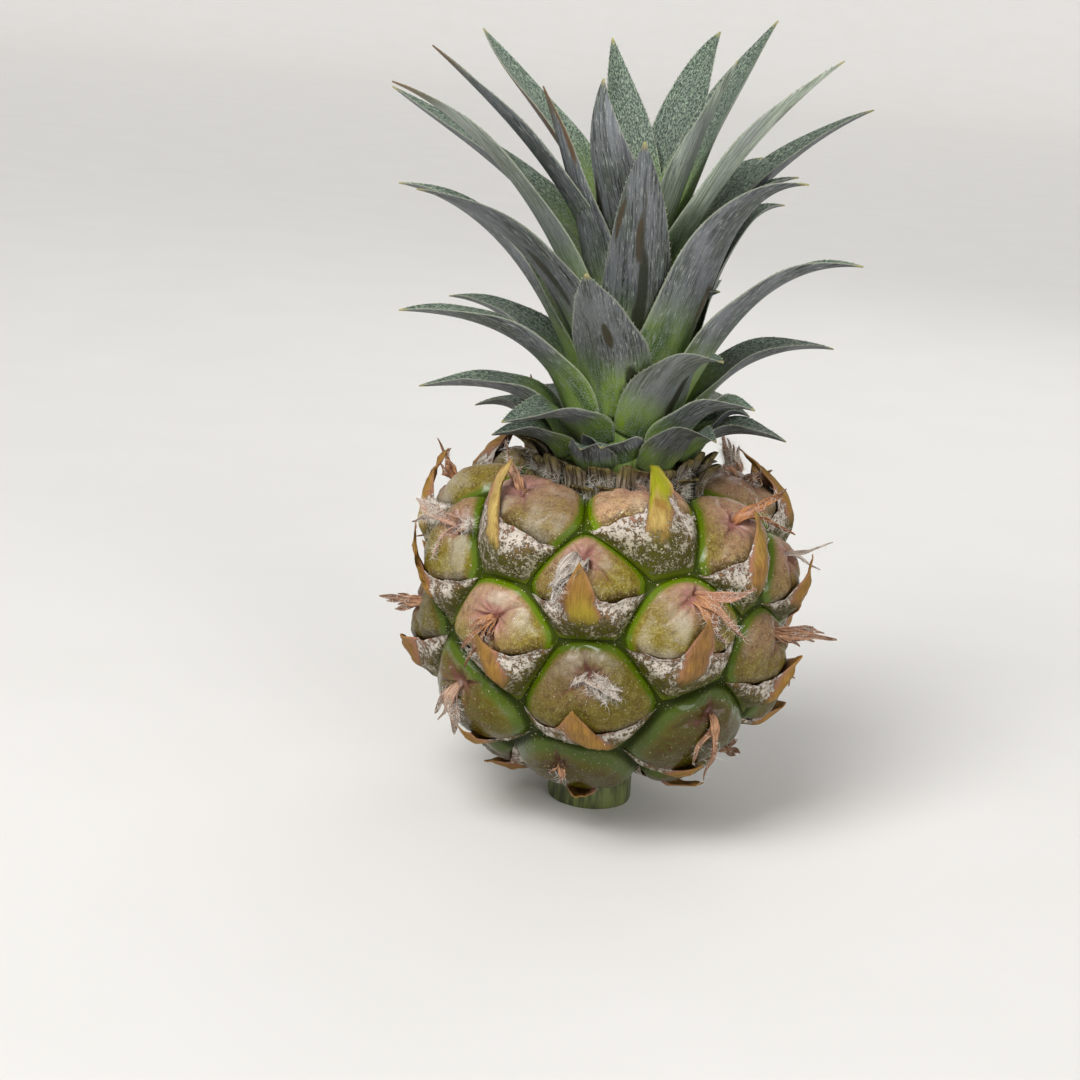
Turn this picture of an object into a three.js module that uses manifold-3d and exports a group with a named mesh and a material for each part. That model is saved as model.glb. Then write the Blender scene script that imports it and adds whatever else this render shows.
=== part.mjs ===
// A miniature pineapple: the whole small fruit with its rind, the dry bracts and withered
// flowers of its fruitlets, its leafy crown and a short cut stub of the stalk below.
// It stands upright on the cut face of the stub. Millimetres, +Z up, origin at the centre
// of the cut face. Azimuths are degrees from the front, -Y, and positive towards +X.

import * as THREE from "three";
import { mergeVertices } from "three/addons/utils/BufferGeometryUtils.js";
import Module from "manifold-3d";

const wasm = await Module();
wasm.setup();

// Driving dimensions of the fruit
const fruitCentre = 38.5;      // height of its widest level above the cut face
const grooveRadius = 35.7;     // half its width, measured in the grooves between fruitlets
const grooveHalfHeight = 30;   // half its height, measured in the grooves
const shoulderPower = 4;       // squarish shoulder of the upper half
const basePower = 2.05;        // round lower half
const cushionRise = 3.8;       // fruitlet's middle above its grooves
const cushionReach = 11.5;     // distance from a groove to a fruitlet's middle
const cushionPower = 2.2;      // how steeply the cushion rises from its grooves
const pitDepth = 1.2;
const pitRadius = 2.6;         // of the pit that the withered flower stands in

// Driving dimensions of the stalk's stub and of the stem inside the crown
const stalkRadius = 8.6;
const stalkHeight = 10.5;
const stemProfile = [[0, 31.5], [11.5, 31.5], [11, 36], [8, 50], [4, 66], [1.2, 74], [0, 74]];

// One spiral of fruitlets. Each step climbs an equal share of the fruit's area and turns by
// the golden angle. Number 0 is at the front near the top; below it numbers are negative.
const goldenTurn = 137.59;
const fruitletCount = 37.64;
const lowestFruitlet = -25;
const highestFruitlet = 8;
const middleFlower = { azimuth: -7.6, share: 0.769 };
const flowerRise = 4.5;        // a withered flower sits this far above its fruitlet's middle
const shoulderCrowding = 0.045;

// Small departures from the spiral: number: [degrees of turn, millimetres of lift]
const fruitletNudges = {
  "0": [1, -1], "-8": [-5, 1], "-5": [1, 0], "-13": [-7, 1.5], "-18": [3, 1], "-21": [6, -4],
  "-3": [-5, 3], "-10": [8, 1.5], "5": [6, -1], "3": [4, 0], "8": [2, 0],
};

// How the withered flowers lean: number: [direction in degrees, 90 is up, length in mm]
const flowerLeans = {
  "0": [210, 6], "-8": [245, 9], "-5": [345, 11], "-13": [0, 5], "-16": [255, 9], "-18": [265, 9],
  "-21": [270, 3], "-3": [175, 8], "-10": [355, 11], "-11": [190, 9], "-2": [330, 9], "1": [50, 12],
  "2": [140, 12], "3": [355, 13], "5": [150, 15], "7": [100, 13], "8": [95, 5],
};
const usualFlowerLength = 8;
const stripsPerFlower = 3;
const stripSpread = 62;
const stripWidth = 1.7;
const stripKnee = { reach: 0.45, rise: 0.5 };
const firstShortFlower = -22;  // from here down the flowers are half as long

// The dry bract over a fruitlet's lower part, in mm from its flower: where its two rings lie,
// their half widths, how far they stand out, and the height of the keel on them
const bractRings = [
  { above: -14.5, half: 6, rise: 0.4, keel: 1.8, lean: 0 },
  { above: -6, half: 3.2, rise: 2.8, keel: 2.2, lean: 0.3 },
];
const bractTip = { above: 1.5, rise: 4.8, lean: 2.2, raised: 3.5, lifted: 2.4 };
const raisedBracts = { from: -12, over: 16 };  // higher up the fruit the bracts stand freer

// Driving dimensions of the crown
const leafCount = 47;
const leafTurn = 137.5;
const firstLeafAzimuth = 338.9;
const clearance = 0.32;

// Values along the crown, from its lowest leaf, 0, to its innermost leaf, 1. Tip heights are
// above the fruit's widest level.
const tipHeights = [[0, 40], [0.15, 41], [0.35, 63], [0.6, 98], [0.8, 110], [1, 116]];
const tipRadii = [[0, 31], [0.15, 33], [0.35, 45], [0.6, 52], [0.8, 47], [1, 21]];
const baseAngles = [[0, 42], [0.2, 26], [0.5, 18], [1, 8]];
const tipAngles = [[0, 112], [0.2, 100], [0.5, 86], [0.75, 66], [0.9, 46], [1, 15]];
const leafWidths = [[0, 10], [0.2, 13.5], [0.5, 15], [1, 11]];
const baseRadii = [[0, 14.5], [1, 3.5]];
const lowestBase = 33.5;
const baseClimb = 38.5;
const baseClimbPower = 1.7;
const grownLeaf = 30;          // from this leaf inward the curve's handles no longer change
const baseHandles = { lowest: 0.5, grown: 0.36 };
const tipHandles = { lowest: 0.46, grown: 0.3 };

// A leaf's outline and thickness, from its base, 0, to its tip, 1
const outline = [[0, 0.5], [0.12, 0.8], [0.3, 1], [0.55, 0.82], [0.8, 0.48], [0.93, 0.22], [1, 0.05]];
const thicknesses = [[0, 1.1], [0.4, 1.3], [0.8, 0.9], [1, 0.5]];
const edgeThickness = 0.55;
const channelDepth = 0.2;

// Where single leaf tips depart from the rule: leaf: [degrees of turn, mm outward, mm up], and
// for some the degrees by which the tip leans further out
const leafNudges = {
  0: [0, -10, -1], 1: [-21, -6, 4], 3: [7, -3, 3], 4: [0, -6, 0], 5: [-21, -6, -3], 8: [-10, -15, -4],
  9: [0, -2, -3], 10: [0, 4, -3], 11: [7, -9, -2], 13: [-12, -9, -12], 16: [19, -16, -4],
  18: [0, 2, -6], 19: [0, -2, 6], 20: [0, -10, -5], 21: [0, -10, -3, -45], 22: [0, -14, 4],
  24: [11, -11, 6], 25: [0, -18, -18], 26: [-14, -3, -7], 27: [0, -22, -4], 28: [0, -12, -10],
  29: [-8, -29.4, -1.8, -75], 30: [0, -10, -8], 31: [0, 0, 2], 32: [10, -32, -34], 33: [0, -26, -26],
  34: [-58, -27.4, -0.8, -45], 35: [-7, -3, -2], 36: [0, 9, -7], 37: [20, -32, -38], 38: [-6, -10, 7],
  39: [-28, 2, 0], 40: [-9, -1, 3], 41: [0, -22, -32], 42: [-27, -15.2, -5, -68], 43: [-4, 0, 7],
  44: [-36, 18, 0, 24], 45: [34, -8, -2], 46: [16, 6, -1],
};

// Numbers of flats
const profileSteps = 1440;
const cushionRings = [0.82, 0.5];
const pitRingSpread = 0.13;
const leafSteps = 6;
const roundSteps = 16;
const slopeStep = 0.006;
const tangentStep = 0.01;
const sameTurn = 1e-6;
const samePoint = 1e-5;
const weldDistance = 0.002;

const up = new THREE.Vector3(0, 0, 1);
const radians = THREE.MathUtils.degToRad;

// The same number between 0 and 1 for the same item and draw, every time
function draw(item, which) {
  const wave = Math.sin(item * 12.9898 + which * 78.233) * 43758.5453;
  return wave - Math.floor(wave);
}

// The value at a place in a list of [place, value] pairs, straight between them
function along(pairs, place) {
  for (let i = 1; i < pairs.length; i += 1) {
    if (place <= pairs[i][0]) {
      const [start, from] = pairs[i - 1];
      const [end, to] = pairs[i];
      return from + (to - from) * Math.max(0, (place - start) / (end - start));
    }
  }
  return pairs[pairs.length - 1][1];
}

// Closed solids from triangles, and back

function solidOf(geometry, weld = samePoint) {
  const bare = geometry.index ? geometry.toNonIndexed() : geometry.clone();
  bare.deleteAttribute("normal");
  bare.deleteAttribute("uv");
  const merged = mergeVertices(bare, weld);
  const mesh = new wasm.Mesh({
    numProp: 3,
    vertProperties: new Float32Array(merged.attributes.position.array),
    triVerts: new Uint32Array(merged.index.array),
  });
  return new wasm.Manifold(mesh);
}

function geometryOf(solid) {
  const mesh = solid.getMesh();
  const geometry = new THREE.BufferGeometry();
  geometry.setAttribute("position", new THREE.BufferAttribute(new Float32Array(mesh.vertProperties), 3));
  geometry.setIndex(new THREE.BufferAttribute(new Uint32Array(mesh.triVerts), 1));
  return geometry;
}

function fromTriangles(corners) {
  const geometry = new THREE.BufferGeometry();
  geometry.setFromPoints(corners);
  return geometry;
}

// The largest body of a cut or joined solid, without scraps and sealed hollows. Points closer
// than a micron or so are one point first.
function largestBody(solid) {
  const whole = solidOf(geometryOf(solid), weldDistance);
  return whole.decompose().reduce((best, body) => (body.volume() > best.volume() ? body : best));
}

// A tapering rod: rings of points that run counter-clockwise seen from the tip, then the tip
function spike(rings, tip) {
  const corners = [];
  const count = rings[0].length;
  for (let i = 2; i < count; i += 1) {
    corners.push(rings[0][0], rings[0][i], rings[0][i - 1]);
  }
  for (let i = 0; i < count; i += 1) {
    const next = (i + 1) % count;
    for (let ring = 1; ring < rings.length; ring += 1) {
      const [low, high] = [rings[ring - 1], rings[ring]];
      corners.push(low[i], low[next], high[next], low[i], high[next], high[i]);
    }
    const last = rings[rings.length - 1];
    corners.push(last[i], last[next], tip);
  }
  return solidOf(fromTriangles(corners));
}

// A thin blade between two grids of points, both faces split alike
function blade(front, back) {
  const corners = [];
  const quad = (a, b, c, d) => corners.push(a, b, c, a, c, d);
  const rows = front.length - 1;
  const columns = front[0].length - 1;
  for (let i = 0; i < rows; i += 1) {
    for (let j = 0; j < columns; j += 1) {
      quad(front[i][j], front[i][j + 1], front[i + 1][j + 1], front[i + 1][j]);
      quad(back[i][j], back[i + 1][j], back[i + 1][j + 1], back[i][j + 1]);
    }
    quad(back[i][0], front[i][0], front[i + 1][0], back[i + 1][0]);
    quad(front[i][columns], back[i][columns], back[i + 1][columns], front[i + 1][columns]);
  }
  for (let j = 0; j < columns; j += 1) {
    quad(back[0][j], back[0][j + 1], front[0][j + 1], front[0][j]);
    quad(front[rows][j], front[rows][j + 1], back[rows][j + 1], back[rows][j]);
  }
  return solidOf(fromTriangles(corners));
}

// The fruit's groove level: a squarish upper half on a round lower half, as a table of
// [share of the area below, radius, height above the widest level]

function fruitProfile() {
  const rows = [];
  let area = 0;
  for (let i = 0; i <= profileSteps; i += 1) {
    const angle = Math.PI * (i / profileSteps - 0.5);
    const power = angle < 0 ? basePower : shoulderPower;
    const radius = grooveRadius * Math.max(0, Math.cos(angle)) ** (2 / power);
    const height = grooveHalfHeight * Math.sign(angle) * Math.abs(Math.sin(angle)) ** (2 / power);
    if (i > 0) {
      const [, lastRadius, lastHeight] = rows[i - 1];
      area += Math.PI * (radius + lastRadius) * Math.hypot(radius - lastRadius, height - lastHeight);
    }
    rows.push([area, radius, height]);
  }
  return { area, rows: rows.map(([below, radius, height]) => [below / area, radius, height]) };
}

const profile = fruitProfile();
const radiusByShare = profile.rows.map(([share, radius]) => [share, radius]);
const heightByShare = profile.rows.map(([share, , height]) => [share, height]);
const sphereRadius = Math.sqrt(profile.area / (4 * Math.PI));
const sharePerHeight = 1 / (2 * sphereRadius);

// The direction, on a sphere of the fruit's area, that stands for an azimuth and a share
function directionAt(azimuth, share) {
  const level = 2 * share - 1;
  const reach = Math.sqrt(Math.max(0, 1 - level * level));
  const angle = radians(azimuth);
  return new THREE.Vector3(reach * Math.sin(angle), -reach * Math.cos(angle), level);
}

// The point that a direction stands for, raised above the grooves
function fruitPoint(direction, rise) {
  const share = THREE.MathUtils.clamp((direction.z + 1) / 2, 0, 1);
  const azimuth = Math.atan2(direction.x, -direction.y);
  const [below, above] = [Math.max(0, share - slopeStep), Math.min(1, share + slopeStep)];
  const across = along(heightByShare, above) - along(heightByShare, below);
  const inward = along(radiusByShare, below) - along(radiusByShare, above);
  const atPole = Math.hypot(direction.x, direction.y) < sameTurn;
  const slope = Math.hypot(across, inward);
  const outward = atPole ? 0 : across / slope;
  const upward = atPole ? Math.sign(direction.z) : inward / slope;
  const radius = along(radiusByShare, share) + rise * outward;
  const height = along(heightByShare, share) + rise * upward;
  return new THREE.Vector3(
    radius * Math.sin(azimuth), -radius * Math.cos(azimuth), fruitCentre + height);
}

// Fruitlets on their spiral, and a plain seat at each pole for the stalk and the crown

function fruitletSeeds() {
  const seeds = [];
  for (let number = lowestFruitlet; number <= highestFruitlet; number += 1) {
    const [turn, lift] = fruitletNudges[String(number)] ?? [0, 0];
    const crowding = 1 - shoulderCrowding * Math.max(0, number);
    const share = middleFlower.share + (number / fruitletCount) * crowding + lift * sharePerHeight;
    const azimuth = middleFlower.azimuth + goldenTurn * number + turn;
    const direction = directionAt(azimuth, share - flowerRise * sharePerHeight);
    seeds.push({ number, seat: false, direction, flower: directionAt(azimuth, share) });
  }
  const [bottom, top] = [up.clone().negate(), up.clone()];
  seeds.push({ number: lowestFruitlet - 1, seat: true, direction: bottom, flower: bottom });
  seeds.push({ number: highestFruitlet + 1, seat: true, direction: top, flower: top });
  for (const seed of seeds) {
    seed.east = seed.seat ? new THREE.Vector3(1, 0, 0) : up.clone().cross(seed.flower).normalize();
    seed.north = seed.flower.clone().cross(seed.east);
  }
  return seeds;
}

const seeds = fruitletSeeds();

// The planes half-way to the seeds around, each as its normal
function dividingPlanes(seed) {
  return seeds
    .filter((other) => other !== seed && other.direction.dot(seed.direction) > 0)
    .map((other) => seed.direction.clone().sub(other.direction).normalize());
}

// A fruitlet's outline: a square on its tangent plane, clipped by each dividing plane
function cellOutline(seed, planes) {
  const corner = (x, y) => seed.direction.clone()
    .addScaledVector(seed.east, x)
    .addScaledVector(seed.north, y);
  let outlinePoints = [corner(-2, -2), corner(2, -2), corner(2, 2), corner(-2, 2)];
  for (const plane of planes) {
    const kept = [];
    outlinePoints.forEach((point, i) => {
      const next = outlinePoints[(i + 1) % outlinePoints.length];
      const [here, there] = [point.dot(plane), next.dot(plane)];
      if (here >= 0) kept.push(point);
      if ((here >= 0) !== (there >= 0)) kept.push(point.clone().lerp(next, here / (here - there)));
    });
    outlinePoints = kept;
  }
  return outlinePoints.map((point) => point.normalize());
}

// How high a fruitlet's cushion stands over a direction inside its outline
function cushion(seed, planes, direction) {
  const edge = Math.min(...planes.map((plane) => direction.dot(plane))) * sphereRadius;
  const fullness = 1 - (1 - THREE.MathUtils.clamp(edge / cushionReach, 0, 1)) ** cushionPower;
  const fromFlower = direction.distanceTo(seed.flower) * sphereRadius;
  const pit = seed.seat ? 0 : pitDepth * Math.exp(-((fromFlower / pitRadius) ** 2));
  return cushionRise * fullness - pit;
}

// A point over a fruitlet: millimetres to the right and up from its flower, and the rise
function overFruitlet(seed, right, above, rise) {
  const direction = seed.flower.clone()
    .addScaledVector(seed.east, right / sphereRadius)
    .addScaledVector(seed.north, above / sphereRadius)
    .normalize();
  return fruitPoint(direction, rise);
}

// The direction and length of each curled dry strip of a fruitlet's withered flower
function flowerStrips(seed) {
  const usualLength = usualFlowerLength * (0.7 + 0.6 * draw(seed.number, 3));
  const usual = [360 * draw(seed.number, 2), usualLength];
  const [lean, length] = flowerLeans[String(seed.number)] ?? usual;
  const reach = seed.number <= firstShortFlower ? length / 2 : length;
  const strips = [];
  for (let strip = 0; strip < stripsPerFlower; strip += 1) {
    const offset = strip - (stripsPerFlower - 1) / 2;
    strips.push({
      angle: radians(lean + stripSpread * offset),
      length: reach * (1 - 0.3 * draw(seed.number, 8 + strip)),
      lift: 0.2 + 0.35 * draw(seed.number, 12 + strip),
    });
  }
  return strips;
}

// One strip drawn out of a small facet: it rises, bends over and ends in a point. The facet's
// last corner is the flower's middle.
function drawnOut(seed, facet, { angle, length, lift }) {
  const at = (distance, side, rise) => overFruitlet(seed,
    distance * Math.cos(angle) - side * Math.sin(angle),
    distance * Math.sin(angle) + side * Math.cos(angle), rise);
  const bend = cushionRise + stripKnee.rise * length;
  const knee = [
    at(stripKnee.reach * length, -0.5 * stripWidth, bend),
    at(stripKnee.reach * length, 0.5 * stripWidth, bend),
    at(stripKnee.reach * length - 0.3 * stripWidth, 0, bend + 0.4 * stripWidth),
  ];
  const tip = at(length, 0, cushionRise + lift * length);
  const corners = [];
  for (let i = 0; i < 3; i += 1) {
    const next = (i + 1) % 3;
    corners.push(facet[i], facet[next], knee[next], facet[i], knee[next], knee[i]);
    corners.push(knee[i], knee[next], tip);
  }
  return corners;
}

// A fruitlet: its cushion in rings inside its outline, closing in on the flower and its strips
function fruitletSkin(seed) {
  const planes = dividingPlanes(seed);
  const cell = cellOutline(seed, planes);
  const border = [];
  cell.forEach((point, i) => {
    const next = cell[(i + 1) % cell.length];
    border.push(point.clone(), point.clone().lerp(next, 0.5).normalize());
  });
  const ringAt = (points, spread) => points.map((point) => {
    const inside = seed.flower.clone().lerp(point, spread).normalize();
    return fruitPoint(inside, spread < 1 ? cushion(seed, planes, inside) : 0);
  });
  const rings = [1, ...cushionRings].map((spread) => ringAt(border, spread));
  const pitRing = ringAt(cell, pitRingSpread);
  const middle = fruitPoint(seed.flower, cushion(seed, planes, seed.flower));
  const corners = [];
  border.forEach((_, i) => {
    const next = (i + 1) % border.length;
    for (let ring = 1; ring < rings.length; ring += 1) {
      const [outer, inner] = [rings[ring - 1], rings[ring]];
      corners.push(outer[i], outer[next], inner[next], outer[i], inner[next], inner[i]);
    }
  });
  const last = rings[rings.length - 1];
  const stripOfFacet = seed.seat ? new Map() : stripPlaces(seed, cell);
  pitRing.forEach((point, i) => {
    const next = (i + 1) % pitRing.length;
    const [before, between, after] = [last[2 * i], last[2 * i + 1], last[(2 * i + 2) % last.length]];
    corners.push(before, between, point, between, pitRing[next], point, between, after, pitRing[next]);
    const facet = [point, pitRing[next], middle];
    corners.push(...(stripOfFacet.has(i) ? drawnOut(seed, facet, stripOfFacet.get(i)) : facet));
  });
  return corners;
}

// The strips by the side of the outline that each one leans to
function stripPlaces(seed, cell) {
  const facings = cell.map((point, i) => {
    const halfWay = point.clone().add(cell[(i + 1) % cell.length]);
    return Math.atan2(halfWay.dot(seed.north), halfWay.dot(seed.east));
  });
  const places = new Map();
  for (const strip of flowerStrips(seed)) {
    const nearness = facings.map((facing) => Math.cos(strip.angle - facing));
    places.set(nearness.indexOf(Math.max(...nearness)), strip);
  }
  return places;
}

// The dry bract that covers a fruitlet's lower part, with its free tip over the middle
function bract(seed) {
  const freedom = THREE.MathUtils.clamp((seed.number - raisedBracts.from) / raisedBracts.over, 0, 1);
  const [flower] = flowerStrips(seed);
  const lean = -bractTip.lean * Math.sign(Math.cos(flower.angle + radians(stripSpread)));
  const rings = bractRings.map((ring) => [
    overFruitlet(seed, ring.lean * lean - ring.half, ring.above, ring.rise),
    overFruitlet(seed, ring.lean * lean, ring.above, ring.rise + ring.keel),
    overFruitlet(seed, ring.lean * lean + ring.half, ring.above, ring.rise),
  ]);
  const above = bractTip.above + bractTip.raised * freedom;
  return spike(rings, overFruitlet(seed, lean, above, bractTip.rise + bractTip.lifted * freedom));
}

// The stalk's stub and the stem that carries the crown's leaves

function stalkSolid(growth) {
  const radius = stalkRadius + growth;
  const top = stalkHeight + growth;
  return turned([[0, -growth], [radius, -growth], [radius, top], [0, top]]);
}

function stemSolid(growth) {
  const last = stemProfile.length - 1;
  return turned(stemProfile.map(([radius, height], i) => {
    const rise = i < 2 ? -growth : (i > last - 2 ? growth : 0);
    return [radius > 0 ? radius + growth : 0, fruitCentre + height + rise];
  }));
}

function turned(profilePoints) {
  const points = profilePoints.map(([radius, height]) => new THREE.Vector2(radius, height));
  const geometry = new THREE.LatheGeometry(points, roundSteps);
  geometry.rotateX(Math.PI / 2);
  return solidOf(geometry);
}

// Crown leaves

function leafShape(leaf) {
  const place = leaf / (leafCount - 1);
  const [turn, outward, upward, leaning = 0] = leafNudges[leaf] ?? [0, 0, 0];
  const azimuth = radians(firstLeafAzimuth + leafTurn * leaf);
  const base = new THREE.Vector2(along(baseRadii, place), lowestBase + baseClimb * place ** baseClimbPower);
  const tip = new THREE.Vector2(along(tipRadii, place) + outward, along(tipHeights, place) + upward);
  const length = base.distanceTo(tip);
  const growth = Math.min(1, leaf / grownLeaf);
  const reach = ({ lowest, grown }) => THREE.MathUtils.lerp(lowest, grown, growth) * length;
  const baseAngle = radians(along(baseAngles, place));
  const tipAngle = radians(along(tipAngles, place) + leaning);
  const baseHandle = base.clone().addScaledVector(
    new THREE.Vector2(Math.sin(baseAngle), Math.cos(baseAngle)), reach(baseHandles));
  const tipHandle = tip.clone().addScaledVector(
    new THREE.Vector2(Math.sin(tipAngle), Math.cos(tipAngle)), -reach(tipHandles));
  return {
    curve: new THREE.CubicBezierCurve(base, baseHandle, tipHandle, tip),
    azimuthAt: (s) => azimuth + radians(turn) * (0.4 + 0.6 * s),
    width: along(leafWidths, place),
  };
}

function leafSolid(leaf, growth) {
  const { curve, azimuthAt, width } = leafShape(leaf);
  const point = (s) => {
    const { x: radius, y: height } = curve.getPoint(s);
    const azimuth = azimuthAt(s);
    return new THREE.Vector3(radius * Math.sin(azimuth), -radius * Math.cos(azimuth), fruitCentre + height);
  };
  const inner = [];
  const outer = [];
  for (let step = 0; step <= leafSteps; step += 1) {
    const s = step / leafSteps;
    const [before, after] = [Math.max(0, s - tangentStep), Math.min(1, s + tangentStep)];
    const ahead = point(after).sub(point(before)).normalize();
    const azimuth = azimuthAt(s);
    const side = new THREE.Vector3(Math.cos(azimuth), Math.sin(azimuth), 0);
    side.addScaledVector(ahead, -side.dot(ahead)).normalize();
    const inward = ahead.clone().cross(side);
    const lengthways = s === 0 ? -growth : (s === 1 ? growth : 0);
    const centre = point(s).addScaledVector(ahead, lengthways);
    const half = 0.5 * width * along(outline, s);
    const thick = along(thicknesses, s);
    const edge = Math.min(thick, edgeThickness);
    const station = (v, offset) => centre.clone()
      .addScaledVector(side, v * (half + growth))
      .addScaledVector(inward, 2 * channelDepth * half * v * v + offset);
    inner.push([-1, 0, 1].map((v) => station(v, growth + 0.5 * (v === 0 ? thick : edge))));
    outer.push([-1, 0, 1].map((v) => station(v, -growth - 0.5 * (v === 0 ? thick : edge))));
  }
  return blade(outer, inner);
}

// Inner leaves are whole; each leaf further out keeps its clearance to those inside it
function crownLeaves() {
  const grownStem = stemSolid(clearance);
  const grown = [];
  const leaves = [];
  for (let leaf = leafCount - 1; leaf >= 0; leaf -= 1) {
    let solid = leafSolid(leaf, 0).subtract(grownStem);
    for (const other of grown) {
      solid = solid.subtract(other);
    }
    leaves.unshift(largestBody(solid));
    grown.push(leafSolid(leaf, clearance));
  }
  return { leaves, grown };
}

function fruitSolid(grownLeaves) {
  const cushions = solidOf(fromTriangles(seeds.flatMap(fruitletSkin)));
  const bracts = seeds.filter((seed) => !seed.seat).map(bract);
  let fruit = bracts.reduce((whole, scale) => whole.add(scale), cushions);
  const neighbours = [stalkSolid(clearance), stemSolid(clearance), ...grownLeaves];
  for (const neighbour of neighbours) {
    fruit = fruit.subtract(neighbour);
  }
  return largestBody(fruit);
}

// Materials

const rind = new THREE.MeshStandardMaterial({ color: "#8a7a3e", roughness: 0.45, metalness: 0 });
const stalkFlesh = new THREE.MeshStandardMaterial({ color: "#5f6b3a", roughness: 0.6, metalness: 0 });
const stemFlesh = new THREE.MeshStandardMaterial({ color: "#7f9a4a", roughness: 0.6, metalness: 0 });
const leafSkin = new THREE.MeshStandardMaterial({ color: "#66716c", roughness: 0.55, metalness: 0 });

function named(name, solid, material) {
  const mesh = new THREE.Mesh(geometryOf(solid), material);
  mesh.name = name;
  return mesh;
}

const pineapple = new THREE.Group();
pineapple.name = "pineapple";
const { leaves, grown } = crownLeaves();
pineapple.add(named("fruit", fruitSolid(grown), rind));
pineapple.add(named("stalk", stalkSolid(0), stalkFlesh));
pineapple.add(named("crown_stem", stemSolid(0), stemFlesh));
leaves.forEach((solid, leaf) => {
  pineapple.add(named(`leaf_${String(leaf + 1).padStart(2, "0")}`, solid, leafSkin));
});

export default pineapple;
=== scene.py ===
"""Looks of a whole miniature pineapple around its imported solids.

The rind's fruitlets, their dry bracts and withered flowers, the leafy crown and the cut stub
of stalk are made here as fine meshes by the rules that the solids follow. Sizes in the tables
are millimetres; the meshes are metres, in the frame of the solids: +Z up, origin at the
centre of the stalk's cut face. Azimuths are degrees from the front, -Y, positive to +X.
"""

import math

import bpy
import numpy as np
from bpy.props import FloatProperty, FloatVectorProperty, IntProperty, PointerProperty
from mathutils import Matrix, Vector


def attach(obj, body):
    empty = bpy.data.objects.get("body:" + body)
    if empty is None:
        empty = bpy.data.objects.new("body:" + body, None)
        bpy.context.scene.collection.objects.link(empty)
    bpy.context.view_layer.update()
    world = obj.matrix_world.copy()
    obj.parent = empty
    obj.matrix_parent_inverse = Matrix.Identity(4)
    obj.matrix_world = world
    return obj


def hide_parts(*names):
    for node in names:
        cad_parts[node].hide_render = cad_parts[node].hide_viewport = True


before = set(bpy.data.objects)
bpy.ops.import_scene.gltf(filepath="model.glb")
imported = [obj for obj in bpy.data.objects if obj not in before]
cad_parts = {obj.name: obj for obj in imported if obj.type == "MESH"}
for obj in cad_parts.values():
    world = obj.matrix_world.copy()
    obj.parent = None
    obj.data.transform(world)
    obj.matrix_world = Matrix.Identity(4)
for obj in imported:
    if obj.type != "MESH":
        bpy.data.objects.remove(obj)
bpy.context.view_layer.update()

bl_info = {
    "name": "Miniature Pineapple",
    "version": (1, 0, 0),
    "blender": (4, 5, 0),
    "location": "View3D > Sidebar > Pineapple",
    "description": "Builds the rind, crown and stalk of a miniature pineapple",
    "category": "Add Mesh",
}

MM = 0.001
BODY = "root"
LEAF_NODES = sorted(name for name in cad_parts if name.startswith("leaf_"))

# The fruit's form: half its width and height in the grooves between fruitlets, and the powers
# of its squarish shoulder and round base
FRUIT_CENTRE = 38.5
GROOVE_RADIUS = 35.7
GROOVE_HALF_HEIGHT = 30.0
SHOULDER_POWER = 4.0
BASE_POWER = 2.05
PROFILE_STEPS = 1440
SLOPE_STEP = 0.006

# A fruitlet's cushion: rise over its grooves, depth of the groove below its level, distance
# from a groove to the full height, the rounding of its corners, and the pit of its flower
CUSHION_RISE = 3.9
GROOVE_DEPTH = 0.6
CUSHION_REACH = 9.5
CUSHION_POWER = 3.0
CORNER_ROUNDING = 1.25
PIT_DEPTH = 1.3
PIT_RADIUS = 2.2

# Where a bract's edge meets its cell's outline: mm below the left and the right corner, and how
# far the edge sags between them
BRACT_DROPS = {0: (2.2, 2.2), 5: (1.0, 7.0), -5: (2.0, 4.0), 8: (0.5, 1.5), 3: (1.5, 1.5)}
USUAL_DROPS = (1.8, 1.8)
BRACT_SAG = 2.0

# The spiral of fruitlets
GOLDEN_TURN = 137.59
FRUITLET_COUNT = 37.64
LOWEST_FRUITLET = -25
HIGHEST_FRUITLET = 8
FRONT_FLOWER = (-7.6, 0.769)
FLOWER_RISE = 4.5
SHOULDER_CROWDING = 0.045
FRUITLET_NUDGES = {
    0: (1, -1), -8: (-5, 1), -5: (1, 0), -13: (-7, 1.5), -18: (3, 1), -21: (6, -4),
    -3: (-5, 3), -10: (8, 1.5), 5: (6, -1), 3: (4, 0), 8: (2, 0),
}

# Where a dome's sepals meet, in mm to the right and above the flower's place in the spiral
HEARTS = {
    0: (-0.8, -0.8), -8: (-0.5, -0.8), -5: (0.8, 2.2), -13: (0.5, 0.0), 5: (-4.2, 1.5),
    8: (2.0, 4.0), 3: (0.2, -1.0), -16: (0.8, -0.2), -18: (-0.5, 2.8), -21: (-0.5, -0.8),
    -3: (3.0, 1.2), 2: (-2.0, -2.0),
}

# The directions of the seams between a dome's sepals, 90 is up
SEAMS = {
    0: (66, 205, -40), -8: (28, 188, -75), -5: (72, 215), -13: (112, -30, 215), 5: (62, -49),
    8: (100, 200), 3: (215, 75), -16: (140, 20), -18: (95, 200), -21: (100,), -3: (60, -60),
}
USUAL_SEAMS = (90, -42, 222)

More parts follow.
